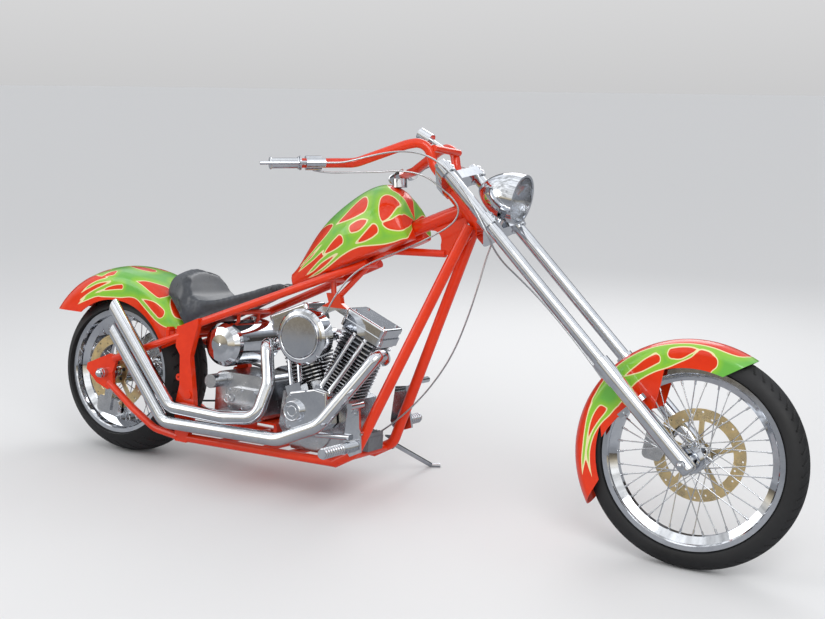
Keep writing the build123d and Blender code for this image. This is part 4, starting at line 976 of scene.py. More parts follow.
@dataclass(frozen=True)
class Tongue:
    """One lick of flame: points along, across and half width, in millimetres on the unrolled panel."""

    points: tuple

    def distance(self, along: np.ndarray, across: np.ndarray) -> np.ndarray:
        """Distance out of the lick, negative inside it.

        Args:
            along: places along the panel.
            across: places across it.

        Returns:
            One distance for each place.
        """
        best = np.full(along.shape, 1e9)
        for (ax, ay, ar), (bx, by, br) in zip(self.points, self.points[1:]):
            dx, dy = bx - ax, by - ay
            t = np.clip(((along - ax) * dx + (across - ay) * dy) / (dx * dx + dy * dy), 0, 1)
            gap = np.hypot(along - ax - t * dx, across - ay - t * dy) - (ar + t * (br - ar))
            best = np.minimum(best, gap)
        return best


def curved(points: Sequence[Triple], steps: int = 10) -> Tongue:
    """A lick whose middle line is a smooth curve through the given points.

    Args:
        points: along, across and half width at each point.
        steps: pieces between two points.

    Returns:
        The lick.
    """
    knots = [np.array(p, float) for p in points]
    knots = [2 * knots[0] - knots[1], *knots, 2 * knots[-1] - knots[-2]]
    line = []
    for a, b, c, d in zip(knots, knots[1:], knots[2:], knots[3:]):
        line += [smooth_between(a, b, c, d, n / steps) for n in range(steps)]
    line.append(knots[-2])
    return Tongue(tuple((float(p[0]), float(p[1]), max(float(p[2]), -3.0)) for p in line))


@dataclass(frozen=True)
class Outline:
    """A closed smooth outline on an unrolled panel, through along and across places in millimetres."""

    knots: tuple
    steps: int = 6

    def line(self) -> np.ndarray:
        """The outline's points, on a smooth curve through its knots."""
        knots = np.array(self.knots, float)
        near = [np.roll(knots, shift, 0) for shift in (1, 0, -1, -2)]
        rows = [smooth_between(*near, n / self.steps) for n in range(self.steps)]
        return np.stack(rows, 1).reshape(-1, 2)

    def depth(self, along: np.ndarray, across: np.ndarray) -> np.ndarray:
        """Distance into the outline, negative outside it.

        Args:
            along: places along the panel.
            across: places across it.

        Returns:
            One distance for each place.
        """
        line = self.line()
        best = np.full(along.shape, 1e9)
        inside = np.zeros(along.shape, bool)
        for (ax, ay), (bx, by) in zip(line, np.roll(line, -1, 0)):
            dx, dy = bx - ax, by - ay
            t = np.clip(((along - ax) * dx + (across - ay) * dy) / (dx * dx + dy * dy), 0, 1)
            best = np.minimum(best, np.hypot(along - ax - t * dx, across - ay - t * dy))
            if ay != by:
                inside ^= ((ay > across) != (by > across)) & (along < dx * (across - ay) / dy + ax)
        return np.where(inside, best, -best)


@dataclass(frozen=True)
class FlamePanel:
    """Green flame on one panel: its body, the licks that trail from it and the orange drops in it."""

    body: Outline
    licks: tuple
    drops: tuple
    blend_mm: float = 4.0

    def depth(self, along: np.ndarray, across: np.ndarray) -> np.ndarray:
        """Distance into the green at each place, negative outside it."""
        total = np.exp(np.clip(self.body.depth(along, across) / self.blend_mm, -40, 40))
        for lick in self.licks:
            total += np.exp(-np.clip(lick.distance(along, across) / self.blend_mm, -40, 40))
        green = self.blend_mm * np.log(np.maximum(total, 1e-30))
        for drop in self.drops:
            green = np.minimum(green, drop.distance(along, across))
        return green


TANK_FLAMES = FlamePanel(
    Outline((
        (425, -60), (430, 6), (459, 37), (480, 38), (600, 40), (600, 116), (512, 124), (488, 136), (464, 148),
        (430, 151), (437, 168), (457, 181), (483, 192), (520, 198), (600, 200), (600, 236), (520, 226),
        (488, 222), (471, 215), (443, 212), (407, 207),
        (363, 198), (316, 189), (273, 186), (236, 186), (184, 171), (146, 168), (173, 145), (205, 128), (196, 106),
        (218, 86), (180, 60), (120, 30), (70, 0), (70, -60),
    )),
    (
        curved([(297, 174, 9), (252, 183, 7), (200, 197, 5.3), (145, 215, 4.3), (77, 238, 3.6), (19, 256, -2.8)]),
        curved([(267, 165, 12), (224, 172, 8.6), (175, 180, 7.3), (121, 193, 6.6), (68, 218, 5.1), (14, 246, -2.8)]),
        curved([(234, 119, 18), (187, 132, 13), (144, 145, 11), (91, 164, 9), (31, 188, 7), (-18, 229, -2.8)]),
        curved([(224, 108, 12), (166, 118, 8), (102, 132, 6), (32, 160, 5), (-12, 200, -2.8)]),
    ),
    (
        curved([(458, 91, 28), (449, 118, 24), (436, 138, 10), (430, 149, -2.8)]),
        curved([(361, 81, 25), (325, 87, 20), (282, 92, 11), (224, 94, -2.8)]),
        curved([(307, 133, 12.5), (332, 133, 14.5), (359, 131, 9.5), (385, 129, -2.8)]),
        curved([(394, 159, 15), (369, 166, 13), (331, 173, 7), (290, 177, -2.8)]),
        curved([(243, 148, 16), (212, 155, 14.5), (177, 163, 8.5), (138, 173, -2.8)]),
    ),
)
REAR_FLAMES = FlamePanel(
    Outline((
        (300, -60), (285, 15), (222, 65), (180, 112), (141, 127), (106, 128), (86, 112), (68, 96), (58, 123),
        (67, 162), (103, 196), (157, 214), (218, 217), (272, 213), (314, 207), (356, 211), (430, 228), (519, 230),
        (577, 220), (544, 202), (500, 186), (500, 160), (545, 139), (590, 120), (545, 92), (620, 55), (700, 22),
        (760, 0), (700, -60),
    )),
    (
        curved([(490, 211, 10), (554, 215, 8), (612, 213, 6.5), (680, 211, 5), (762, 207, -2.8)]),
        curved([(454, 172, 11), (516, 186, 7.7), (585, 196, 6), (658, 201, 4.3), (735, 199, -2.8)]),
        curved([(464, 145, 14), (516, 160, 8.8), (577, 165, 6.8), (640, 172, 4.5), (715, 180, -2.8)]),
        curved([(560, 125, 9), (610, 112, 7), (670, 106, 5), (740, 108, -2.8)]),
    ),
    (
        curved([(429, 186, 10), (477, 193, 9), (530, 200, 5), (573, 205, -2.8)]),
        curved([(500, 125, 14), (534, 136, 9), (575, 145, -2.8)]),
        curved([(384, 36, 20), (415, 44, 22), (463, 43, 12), (520, 26, -2.8)]),
        curved([(239, 110, 34), (273, 121, 25), (317, 130, 13), (371, 140, -2.8)]),
        curved([(160, 176, 22), (206, 182, 19), (253, 189, 9), (299, 196, -2.8)]),
    ),
)
FRONT_FLAMES = FlamePanel(
    Outline((
        (-30, -60), (-30, 150), (85, 150), (112, 125), (118, 111), (104, 90), (109, 69), (129, 58), (154, 54),
        (176, 56),
        (200, 78), (239, 94), (288, 107), (343, 111), (388, 114), (432, 117), (483, 125), (546, 133), (591, 118),
        (601, 84), (609, 60), (574, 54), (533, 48), (470, 42), (400, 38), (330, 38), (260, 40), (197, 40), (134, 42),
        (87, 44), (52, 38), (34, 20), (28, 0), (28, -60),
    )),
    (
        curved([
            (553, 79, 15), (606, 71, 12), (656, 70, 8.5), (712, 74, 6), (771, 75, 5), (830, 70, 4), (886, 60, -2.8),
        ]),
        curved([
            (563, 118, 12), (613, 119, 8), (663, 108, 5.5), (715, 97, 4.8), (769, 90, 4.5), (815, 88, 4),
            (905, 94, -2.8),
        ]),
    ),
    (
        curved([(324, 74, 15.5), (357, 79, 15.5), (396, 84, 12), (438, 83, 5), (468, 80, -2.8)]),
        curved([(266, 68, 15), (238, 68, 17), (204, 60, 9), (172, 53, -2.8)]),
    ),
)


def ease(mesh: bpy.types.Mesh, rounds: int) -> bpy.types.Mesh:
    """Rounds a fine mesh's edges a little and shades it smooth.

    Args:
        mesh: the fine mesh.
        rounds: how many times each point moves towards its neighbours' middle.

    Returns:
        The rounded mesh.
    """
    work = bmesh.new()
    work.from_mesh(mesh)
    for _ in range(rounds):
        bmesh.ops.smooth_vert(work, verts=work.verts, factor=0.5, use_axis_x=True, use_axis_y=True, use_axis_z=True)
    for face in work.faces:
        face.smooth = True
    fresh = bpy.data.meshes.new("eased")
    work.to_mesh(fresh)
    work.free()
    sharp = fresh.attributes.get("custom_normal")
    if sharp:
        fresh.attributes.remove(sharp)
    return fresh


def write_flames(mesh: bpy.types.Mesh, depth: np.ndarray) -> None:
    """Stores the distance into the flame on each point of a mesh."""
    attribute = mesh.attributes.new("flame_mm", "FLOAT", "POINT")
    attribute.data.foreach_set("value", depth.astype(np.float32))


def upright(points: np.ndarray) -> np.ndarray:
    """Points of the row frame in millimetres on the upright machine."""
    back = np.array(STANCE.inverted())
    return (points.reshape(-1, 3) @ back[:3, :3].T + back[:3, 3]) / MM


def upright_points(mesh: bpy.types.Mesh) -> np.ndarray:
    """A mesh's points in millimetres on the upright machine."""
    points = np.empty(len(mesh.vertices) * 3)
    mesh.vertices.foreach_get("co", points)
    return upright(points)


# How a triangle is cut for each number of split edges. Corners are 0 to 2, and 3 to 5 are the middles of the edges
# from corners 0, 1 and 2. It is turned so that with one split edge that is the first, and with two the last is whole.
CUTS = (
    ((0, 1, 2),),
    ((0, 3, 2), (3, 1, 2)),
    ((3, 1, 4), (0, 3, 4), (0, 4, 2)),
    ((0, 3, 5), (3, 1, 4), (5, 4, 2), (3, 4, 5)),
)


def cut_triangles(corners: np.ndarray, facings: np.ndarray, middles: np.ndarray) -> tuple[np.ndarray, np.ndarray]:
    """Cuts each triangle by the split ones of its edges.

    Args:
        corners: three point numbers of each triangle.
        facings: the normal at each corner.
        middles: the new point in the middle of each edge, or -1 on a whole edge.

    Returns:
        The new triangles' corners and facings.
    """
    is_split = middles >= 0
    count = is_split.sum(axis=1)
    first = np.where(count == 2, np.argmin(is_split, axis=1) + 1, np.argmax(is_split, axis=1))
    order = (first[:, None] + np.arange(3)) % 3
    turned_facings = np.take_along_axis(facings, order[:, :, None], 1)
    halfway = turned_facings + np.roll(turned_facings, -1, axis=1)
    halfway /= np.maximum(np.linalg.norm(halfway, axis=2, keepdims=True), 1e-9)
    points = np.hstack((np.take_along_axis(corners, order, 1), np.take_along_axis(middles, order, 1)))
    normals = np.hstack((turned_facings, halfway))
    picks = [(count == number, list(cut)) for number, cuts in enumerate(CUTS) for cut in cuts]
    return (
        np.vstack([points[chosen][:, cut] for chosen, cut in picks]),
        np.vstack([normals[chosen][:, cut] for chosen, cut in picks]),
    )


def dense_copy(node: str, edge_mm: float, depth_of: DepthOf, reach: float) -> bpy.types.Mesh:
    """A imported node's mesh, split finely where a flame's edge passes, with its smooth normals kept.

    Args:
        node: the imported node.
        edge_mm: the longest edge beside a flame's edge.
        depth_of: gives upright points their distance into a flame.
        reach: how much longer an edge may be for each millimetre that it lies off a flame's edge.

    Returns:
        The mesh in the row frame.
    """
    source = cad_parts[node].data
    places, facings = np.empty(len(source.vertices) * 3), np.empty(len(source.loops) * 3)
    corners = np.empty(len(source.loops), int)
    source.vertices.foreach_get("co", places)
    source.corner_normals.foreach_get("vector", facings)
    source.loops.foreach_get("vertex_index", corners)
    places = places.reshape(-1, 3)
    _, kept, welded = np.unique(np.round(places / WELD), axis=0, return_index=True, return_inverse=True)
    places = places[kept]
    corners, facings = welded.ravel()[corners].reshape(-1, 3), facings.reshape(-1, 3, 3)
    whole = (corners != np.roll(corners, 1, axis=1)).all(axis=1)
    corners, facings = corners[whole], facings[whole]
    while True:
        pairs = np.sort(np.stack((corners, np.roll(corners, -1, axis=1)), axis=2), axis=2)
        edges, uses = np.unique(pairs.reshape(-1, 2), axis=0, return_inverse=True)
        off = np.abs(depth_of(upright(places)))[edges].min(axis=1)
        longest = np.maximum(edge_mm, np.minimum(reach * off, 4.0 * edge_mm))
        is_long = np.linalg.norm(places[edges[:, 0]] - places[edges[:, 1]], axis=1) > longest * MM
        if not is_long.any():
            break
        numbers = np.full(len(edges), -1)
        numbers[is_long] = len(places) + np.arange(is_long.sum())
        places = np.vstack((places, places[edges[is_long]].mean(axis=1)))
        corners, facings = cut_triangles(corners, facings, numbers[uses.ravel()].reshape(-1, 3))
    mesh = bpy.data.meshes.new(node + "_fine")
    mesh.from_pydata(places.tolist(), [], corners.tolist())
    mesh.polygons.foreach_set("use_smooth", np.ones(len(mesh.polygons), bool))
    mesh.normals_split_custom_set(facings.reshape(-1, 3))
    return mesh


@dataclass(frozen=True)
class ArchPanel:
    """Places on an unrolled fender: along its arch from the front end, and across from its crown."""

    centre: Triple
    crown_r: float
    from_deg: float
    shoulder_drop: float = 34.0

    def across(self, points: np.ndarray) -> tuple[np.ndarray, np.ndarray]:
        """Along and across in millimetres for upright points."""
        x, z = points[:, 0] - self.centre[0], points[:, 2] - self.centre[2]
        skirt = np.maximum(self.crown_r - self.shoulder_drop - np.hypot(x, z), 0.0)
        angle = np.degrees(np.arctan2(z, x)) % 360
        return np.radians(angle - self.from_deg) * self.crown_r, np.abs(points[:, 1]) + skirt


@dataclass(frozen=True)
class TankPanel:
    """Places on an unrolled tank: along its sloping floor, and round it from its crown."""

    floor: Triple = (800.0, 0.0, 746.0)
    pitch_deg: float = 23.0
    core_mm: float = 70.0
    mm_per_degree: float = 1.75
    nose_mm: float = 474.0
    nose_r: float = 84.0

    def across(self, points: np.ndarray) -> tuple[np.ndarray, np.ndarray]:
        """Along and across in millimetres for upright points."""
        turn = math.radians(self.pitch_deg)
        x, z = points[:, 0] - self.floor[0], points[:, 2] - self.floor[2]
        height = z * math.cos(turn) - x * math.sin(turn)
        along = x * math.cos(turn) + z * math.sin(turn)
        round_it = np.degrees(np.arctan2(np.abs(points[:, 1]), height - self.core_mm)) * self.mm_per_degree
        inward = np.maximum(self.nose_r - np.hypot(points[:, 1], height - self.core_mm), 0.0)
        return along + np.where(along > self.nose_mm, inward, 0.0), round_it


@dataclass
class BodyWork:
    """Tank and fenders in flame paint."""

    palette: Palette

    def paint(
        self, node: str, panel: object, flames: FlamePanel, body: Body, edge_mm: float, rounds: int = 0
    ) -> None:
        """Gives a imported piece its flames.

        Args:
            node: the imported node.
            panel: how its points unroll.
            flames: the pattern.
            body: what carries it.
            edge_mm: its longest edge where a flame's edge passes.
            rounds: how much its edges are rounded, which takes an even mesh.
        """

        def depth_of(points: np.ndarray) -> np.ndarray:
            """Distance into a flame at upright points."""
            return flames.depth(*panel.across(points))

        mesh = dense_copy(node, edge_mm, depth_of, 0.0 if rounds else 0.6)
        if rounds:
            mesh = ease(mesh, rounds)
        write_flames(mesh, depth_of(upright_points(mesh)))
        finish_piece("painted_" + node, mesh, self.palette.flame, body, [node])

    def build(self) -> None:
        """Paints the tank and both fenders."""
        self.paint("tank", TankPanel(), TANK_FLAMES, Body.FRAME, 6.6, 9)
        self.paint("rear_fender", ArchPanel(FENDER_CENTRE, FENDER_R, 24.0), REAR_FLAMES, Body.FRAME, 5.5)
        self.paint("front_fender", ArchPanel((2246.0, 0.0, 338.8), 369.0, 61.0), FRONT_FLAMES, Body.FORK, 5.0)


# Wheels


@dataclass
class TyreForm:
    """A treaded tyre's shape on its rim."""

    centre: Triple
    crown_r: float
    section_r: float
    rim_r: float
    rim_half_w: float
    groove_mm: float
    steps: int
    pitch: int
    centre_groove: float = 0.05
    centre_half_w: float = 0.018
    cross_from: float = 0.12
    cross_to: float = 0.6
    cross_share: float = 0.11
    sweep: float = 1.9

    def section(self, count: int) -> list[tuple[float, float, float]]:
        """Radius, width and place across (-1 to 1) round the outside, from bead to bead."""
        seat = self.rim_r - 14.0 + 0.1
        edge = self.rim_half_w - 6
        lip = self.rim_r + 2
        mid = self.crown_r - self.section_r
        side = math.sqrt(self.section_r ** 2 - (lip + 4 - mid) ** 2)
        start = math.atan2(side, lip + 4 - mid)
        rows = [(seat, -edge, -2.0), (lip, -edge, -2.0)]
        for n in range(count + 1):
            share = 2 * n / count - 1
            angle = share * start
            radius, width = mid + self.section_r * math.cos(angle), self.section_r * math.sin(angle)
            rows.append((radius, width, share * start / 1.5))
        return rows + [(lip, edge, 2.0), (seat, edge, 2.0)]

    def groove(self, share: float, turn: float) -> float:
        """Depth of the tread's grooves at a place across and round the tyre, from 0 to 1."""
        wide = abs(share)
        if abs(wide - self.centre_groove) < self.centre_half_w:
            return 1.0
        phase = (turn * self.pitch / (2 * math.pi) + wide * self.sweep + (0.5 if share > 0 else 0.0)) % 1.0
        return 1.0 if self.cross_from < wide < self.cross_to and phase < self.cross_share else 0.0

    def mesh(self, name: str, across: int) -> bpy.types.Mesh:
        """The tyre with its grooves sunk in the tread."""
        section = self.section(across)
        mid = self.crown_r - self.section_r
        rings = []
        for n in range(self.steps):
            turn = 2 * math.pi * n / self.steps
            ring = []
            for radius, width, share in section:
                sink = self.groove(share, turn) * self.groove_mm if abs(share) < 1.5 else 0.0
                out = math.hypot(radius - mid, width)
                scale = (out - sink) / out if sink else 1.0
                r, y = mid + (radius - mid) * scale, width * scale
                ring.append((self.centre[0] + r * math.cos(turn), y, self.centre[2] + r * math.sin(turn)))
            rings.append(ring)
        mesh = lofted(name, rings, closed=True)
        smooth(mesh, 28)
        return mesh


@dataclass
class Wheel:
    """One wheel's tyre, nipples and disc bolts."""

    palette: Palette
    trees: Trees
    name: str
    body: Body
    form: TyreForm
    well_r: float
    nipple_y: float
    hub_r: float
    hub_y: float
    disc_y: float
    disc_side: Side
    disc_bolt_r: float
    spokes: int = 20

    def build(self) -> None:
        """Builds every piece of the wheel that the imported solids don't have."""
        finish_piece(
            f"treaded_{self.name}_tyre", self.form.mesh(self.name + "_tread", 96), self.palette.tyre, self.body,
            [f"{self.name}_tyre"],
        )
        fit_set(
            self.trees.bolts, f"{self.name}_spoke_nipples", self.nipple_points(), self.palette.chrome, self.body,
            {"Head Radius": 3.3, "Head Height": 14.0, "Washer": 1.2, "Sides": 10},
        )
        turns = [math.radians(72 * n + 18) for n in range(5)]
        ring = on_circle(self.form.centre[0], self.form.centre[2], self.disc_bolt_r, turns)
        bolts = [((x, self.disc_y, z), (0, self.disc_side, 0)) for x, z in ring]
        fit_set(
            self.trees.bolts, f"{self.name}_disc_bolts", bolts, self.palette.steel, self.body,
            {"Head Radius": 6.0, "Head Height": 5.0, "Washer": 1.0, "Sides": 12},
        )

    def nipple_points(self) -> list[tuple]:
        """Each spoke's end at the rim's well and the way back along it to the hub."""
        pairs = []
        pitch = 360 / self.spokes
        for side in Side:
            for n in range(self.spokes):
                lead = 1 if n % 2 else -1
                rim = math.radians(n * pitch + side * pitch / 4)
                hub = rim + lead * math.radians(62.0)
                shift = lead * 2.7
                at = Vector((self.well_r * math.cos(rim), side * self.nipple_y + shift, self.well_r * math.sin(rim)))
                foot = Vector((self.hub_r * math.cos(hub), side * self.hub_y + shift, self.hub_r * math.sin(hub)))
                centre = Vector(self.form.centre)
                pairs.append((tuple(centre + at), tuple(foot - at)))
        return pairs


# Saddle


@dataclass
class Saddle:
    """The padded saddle."""

    palette: Palette
    voxel: float = 0.007
    swell_cap: float = 0.007
    rail_x: float = 449.0
    rail_z: float = 588.7
    rail_rise: float = 0.433
    edge_lift: float = 11.0
    dish: float = 5.0
    round_off: float = 22.0
    hollow: float = 16.0
    narrowing: float = 0.36
    crest_x: tuple = (232, 252, 284, 312, 334, 356, 396, 456, 560, 720, 735)
    crest_z: tuple = (668, 738, 758, 744, 698, 656, 632, 636, 676, 740, 744)
    plan_x: tuple = (220, 246, 320, 420, 620, 740)
    plan_half: tuple = (96, 132, 147, 136, 74, 34)

    def build(self) -> None:
        """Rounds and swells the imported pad's form, then dresses it in hide."""
        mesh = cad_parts["seat"].data.copy()
        tidy_normals(mesh)
        pad = new_object("padded_saddle", mesh)
        remesh = pad.modifiers.new("even", "REMESH")
        remesh.mode = "VOXEL"
        remesh.voxel_size = self.voxel
        ease = pad.modifiers.new("ease", "SMOOTH")
        ease.factor = 0.5
        ease.iterations = 10
        self.bake(pad)
        self.sculpt(pad)
        self.soften(pad)
        finer = pad.modifiers.new("finer", "SUBSURF")
        finer.levels = 1
        finer.render_levels = 1
        self.bake(pad)
        smooth(pad.data, 80)
        pad.data.materials.clear()
        pad.data.materials.append(self.palette.leather)
        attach(pad, Body.FRAME.value)
        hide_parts("seat")
        LOG.info("padded_saddle: %d faces", len(pad.data.polygons))

    def sculpt(self, pad: bpy.types.Object) -> None:
        """Narrows the backrest towards its top and dishes the hide between fuller edges."""
        x, y, z = upright_points(pad.data).T
        over_rail = self.rail_z + self.rail_rise * (x - self.rail_x)
        over_fender = FENDER_CENTRE[2] + np.sqrt(np.maximum(FENDER_R ** 2 - x ** 2, 0.0))
        floor = np.maximum(over_rail, over_fender)
        top = np.interp(x, self.crest_x, self.crest_z)
        share = np.clip((z - floor) / np.maximum(top - floor, 1.0), 0.0, 1.0)
        half = np.interp(x, self.plan_x, self.plan_half)
        edge = np.clip(np.abs(y) / half, 0.0, 1.0) ** 2
        rise = ramped(z, 640.0, 758.0) * ramped(x, 400.0, 360.0)
        seat = ramped(x, 350.0, 400.0) * ramped(x, 735.0, 695.0)
        front = ramped(x, 270.0, 310.0)
        z = z + share * seat * (self.edge_lift * edge - self.dish * (1.0 - edge)) - rise ** 2 * edge * self.round_off
        x = x - rise * (1.0 - edge) * self.hollow * front
        y = y * (1.0 - self.narrowing * rise ** 1.5)
        points = np.column_stack((x, y, z)) * MM
        there = np.array(STANCE)
        pad.data.vertices.foreach_set("co", (points @ there[:3, :3].T + there[:3, 3]).ravel())
        pad.data.update()

    def bake(self, pad: bpy.types.Object) -> None:
        """Applies every modifier by taking the evaluated mesh."""
        graph = bpy.context.evaluated_depsgraph_get()
        fresh = bpy.data.meshes.new_from_object(pad.evaluated_get(graph))
        pad.modifiers.clear()
        pad.data = fresh

    def soften(self, pad: bpy.types.Object) -> None:
        """Runs a short cloth swell on the pad, with every point's travel capped and its floor held."""
        start = np.empty(len(pad.data.vertices) * 3)
        pad.data.vertices.foreach_get("co", start)
        start = start.reshape(-1, 3)
        normals = np.array([v.normal for v in pad.data.vertices])
        cloth = pad.modifiers.new("swell", "CLOTH")
        cloth.settings.use_pressure = True
        cloth.settings.uniform_pressure_force = 4.0
        cloth.settings.effector_weights.gravity = 0.0
        cloth.settings.tension_stiffness = 30.0
        cloth.settings.compression_stiffness = 30.0
        scene = bpy.context.scene
        for number in range(1, 17):
            scene.frame_set(number)
        graph = bpy.context.evaluated_depsgraph_get()
        swollen = bpy.data.meshes.new_from_object(pad.evaluated_get(graph))
        pad.modifiers.clear()
        end = np.empty(len(swollen.vertices) * 3)
        swollen.vertices.foreach_get("co", end)
        end = end.reshape(-1, 3)
        move = end - start
        size = np.linalg.norm(move, axis=1, keepdims=True)
        move *= np.minimum(1.0, self.swell_cap / np.maximum(size, 1e-9))
        held = np.clip(1.0 + normals[:, 2:3] * 2.0, 0.0, 1.0)
        pad.data.vertices.foreach_set("co", (start + move * held).ravel())
        bpy.data.meshes.remove(swollen)
        scene.frame_set(1)


# Engine, controls and hardware


@dataclass
class Hardware:
    """Bolts and nuts over the engine, frame and fork."""

    palette: Palette
    trees: Trees

    def heads(self, name: str, points: Sequence[tuple], body: Body, radius: float = 5.0, sides: int = 6) -> None:
        """Bolt heads of one size on one body.

        Args:
            name: the piece's name.
            points: pairs of upright point and facing.
            body: what carries them.
            radius: the heads' radius in millimetres.
            sides: six for hexagon heads, more for round ones.
        """
        sizes = {"Head Radius": radius, "Head Height": radius * 0.8, "Washer": 1.2, "Sides": sides}
        fit_set(self.trees.bolts, name, points, self.palette.chrome, body, sizes)

    def build(self) -> None:
        """Builds every set of bolts."""
        right, left = (0, -1, 0), (0, 1, 0)
        chest = [(854, 262), (868, 246), (1000, 262), (1012, 290), (1000, 374), (930, 378), (862, 354)]
        self.heads("cam_chest_screws", [((x, -165, z), right) for x, z in chest], Body.FRAME, 4.2, 12)
        points = on_circle(*POINTS_COVER_XZ, 26, (0.6, 2.7, 4.9))
        self.heads("points_cover_screws", [((x, -181, z), right) for x, z in points], Body.FRAME, 3.2, 12)
        ring = on_circle(*CLUTCH_XZ, 90, map(math.radians, (60, 105, 150, 195, 240, 285)))
        ring += on_circle(CRANK[0], CRANK[2], 56, map(math.radians, (-75, -25, 25, 75)))
        self.heads("primary_screws", [((x, 226, z), left) for x, z in ring], Body.FRAME, 4.2, 12)
        lid = on_circle(*CLUTCH_XZ, 55, (0.3, 1.56, 2.81, 4.07, 5.33))
        self.heads("clutch_lid_screws", [((x, 235, z), left) for x, z in lid], Body.FRAME, 3.6, 12)
        self.trims()
        self.tank_ends()
        box = [(566, 268), (566, 332), (678, 268), (678, 332), (622, 266), (622, 334)]
        self.heads("gearbox_screws", [((x, -123, z), right) for x, z in box], Body.FRAME, 4.0, 12)
        self.heads("rocker_bolts", self.rocker_points(), Body.FRAME, 5.0)
        ahead = (math.cos(RAKE), 0, math.sin(RAKE))
        clamps = [(on_fork(88.5, side * 114, w), ahead) for side in Side for w in (966, 984, 1196, 1214)]
        self.heads("clamp_bolts", clamps, Body.FORK, 4.6, 12)
        nuts = (
            ("rear_axle_nuts", REAR_AXLE, 197, Body.FRAME, 19),
            ("front_axle_nuts", FRONT_AXLE, 149, Body.FORK, 12),
        )
        for name, (x, _, z), y, body, radius in nuts:
            self.domes(name, [((x, s * y, z), (0, s, 0)) for s in Side], body, radius)
        lugs = [(on_fork(6, s * 101.4, 230), (0, s, 0)) for s in Side]
        self.heads("fender_lug_bolts", lugs, Body.FORK, 5.0)
        pulley = on_circle(REAR_AXLE[0], REAR_AXLE[2], 44, [math.radians(72 * n) for n in range(5)])
        self.heads("pulley_bolts", [((x, 158, z), left) for x, z in pulley], Body.REAR_WHEEL, 5.0)

    def tank_ends(self) -> None:
        """Meant as domes on the oil tank's ends, but placed() is applied twice, here and in lofted().

        They end as a speck of 0.3 mm at the rear tyre's foot, and the tank shows its packed ends.
        """
        turns = [math.radians(7.5 * n) for n in range(48)]
        meshes = []
        for side in Side:
            rings = []
            for step in range(13):
                tilt = math.radians(90.0 * step / 12)
                radius, reach = 84.6 * math.cos(tilt) + 0.4, 110.0 + 38.6 * math.sin(tilt)
                rings.append([placed((x, side * reach, z)) for x, z in on_circle(524, 495, radius, turns)])
            meshes.append(lofted("oil_tank_end", rings, True))
        mesh = joined("oil_tank_ends", meshes)
        smooth(mesh, 50)
        finish_piece("oil_tank_ends", mesh, self.palette.chrome, Body.FRAME)

    def trims(self) -> None:
        """Raised rims on round covers: name, centre with facing, ring radius and rib radius."""
        right = (0, -1, 0)
        points_cover = (POINTS_COVER_XZ[0], -181, POINTS_COVER_XZ[1])
        rows = [
            ("points_cover_rims", [(points_cover, right)], 33.0, 3.0),
            ("points_cover_inner_rims", [(points_cover, right)], 18.0, 2.0),
            ("gearbox_cap_rims", [((566, -136, 300), right)], 14.0, 2.2),
            ("air_cleaner_rims", [((917, -212.6, 572), right)], 77.0, 3.0),
        ]
        for name, points, ring_r, rib_r in rows:
            sizes = {"Ring Radius": ring_r, "Rib Radius": rib_r}
            fit_set(self.trees.rings, name, points, self.palette.chrome, Body.FRAME, sizes)

    def domes(self, name: str, points: Sequence[tuple], body: Body, radius: float) -> None:
        """Domed nuts of one size on one body."""
        sizes = {"Nut Radius": radius, "Nut Height": radius * 0.55}
        fit_set(self.trees.domes, name, points, self.palette.chrome, body, sizes)

    def rocker_points(self) -> list[tuple]:
        """Four bolts on each rocker box's lid."""
        found = []
        for lean in (-1, 1):
            turn = math.radians(lean * 22.5)
            up = Vector((math.sin(turn), 0, math.cos(turn)))
            out = Vector((math.cos(turn), 0, -math.sin(turn)))
            for u in (-64, 64):
                for y in (-44, 44):
                    at = Vector(CRANK) + up * 442 + out * u + Vector((0, y, 0))
                    found.append((tuple(at), tuple(up)))
        return found


BAR_FOOT = Vector(on_fork(28.0, 84.0, 1222.0))
BAR_BEND = BAR_FOOT + Vector((-259, 119, 16))
BAR_TIP = BAR_FOOT + Vector((-389, 249, 0))


def perch(side: Side) -> tuple[Vector, Vector, Vector]:
    """Where a lever's clamp sits on the bar, the way the bar runs there, and the way ahead of it."""
    flip = Vector((1, side, 1))
    run = ((BAR_TIP - BAR_BEND) * flip).normalized()
    return BAR_TIP * flip - run * 42, run, Vector((run.y * side, -run.x * side, 0)).normalized()


@dataclass
class HandControls:
    """Polished beads on the grips and rings on the pegs."""

    palette: Palette
    trees: Trees
    grip_length: float = 104.0
    grip_r: float = 17.5
    peg_r: float = 16.0
    rib_r: float = 3.2

    def build(self) -> None:
        """Builds the beads of both grips and the rings of both pegs."""
        beads = []
        for side in Side:
            _, run, _ = perch(side)
            tip = BAR_TIP * Vector((1, side, 1))
            beads += [(tuple(tip + run * reach), tuple(run)) for reach in (9, self.grip_length - 4)]
        sizes = {"Ring Radius": self.grip_r, "Rib Radius": self.rib_r}
        fit_set(self.trees.rings, "grip_beads", beads, self.palette.chrome, Body.FORK, sizes)
        heights = {Side.RIGHT: 212, Side.LEFT: 257}
        pegs = [((1118, s * (216 + n * 15), heights[s]), (0, s, 0)) for s in Side for n in range(8)]
        sizes = {"Ring Radius": self.peg_r, "Rib Radius": self.rib_r}
        fit_set(self.trees.rings, "peg_rings", pegs, self.palette.chrome, Body.FRAME, sizes)


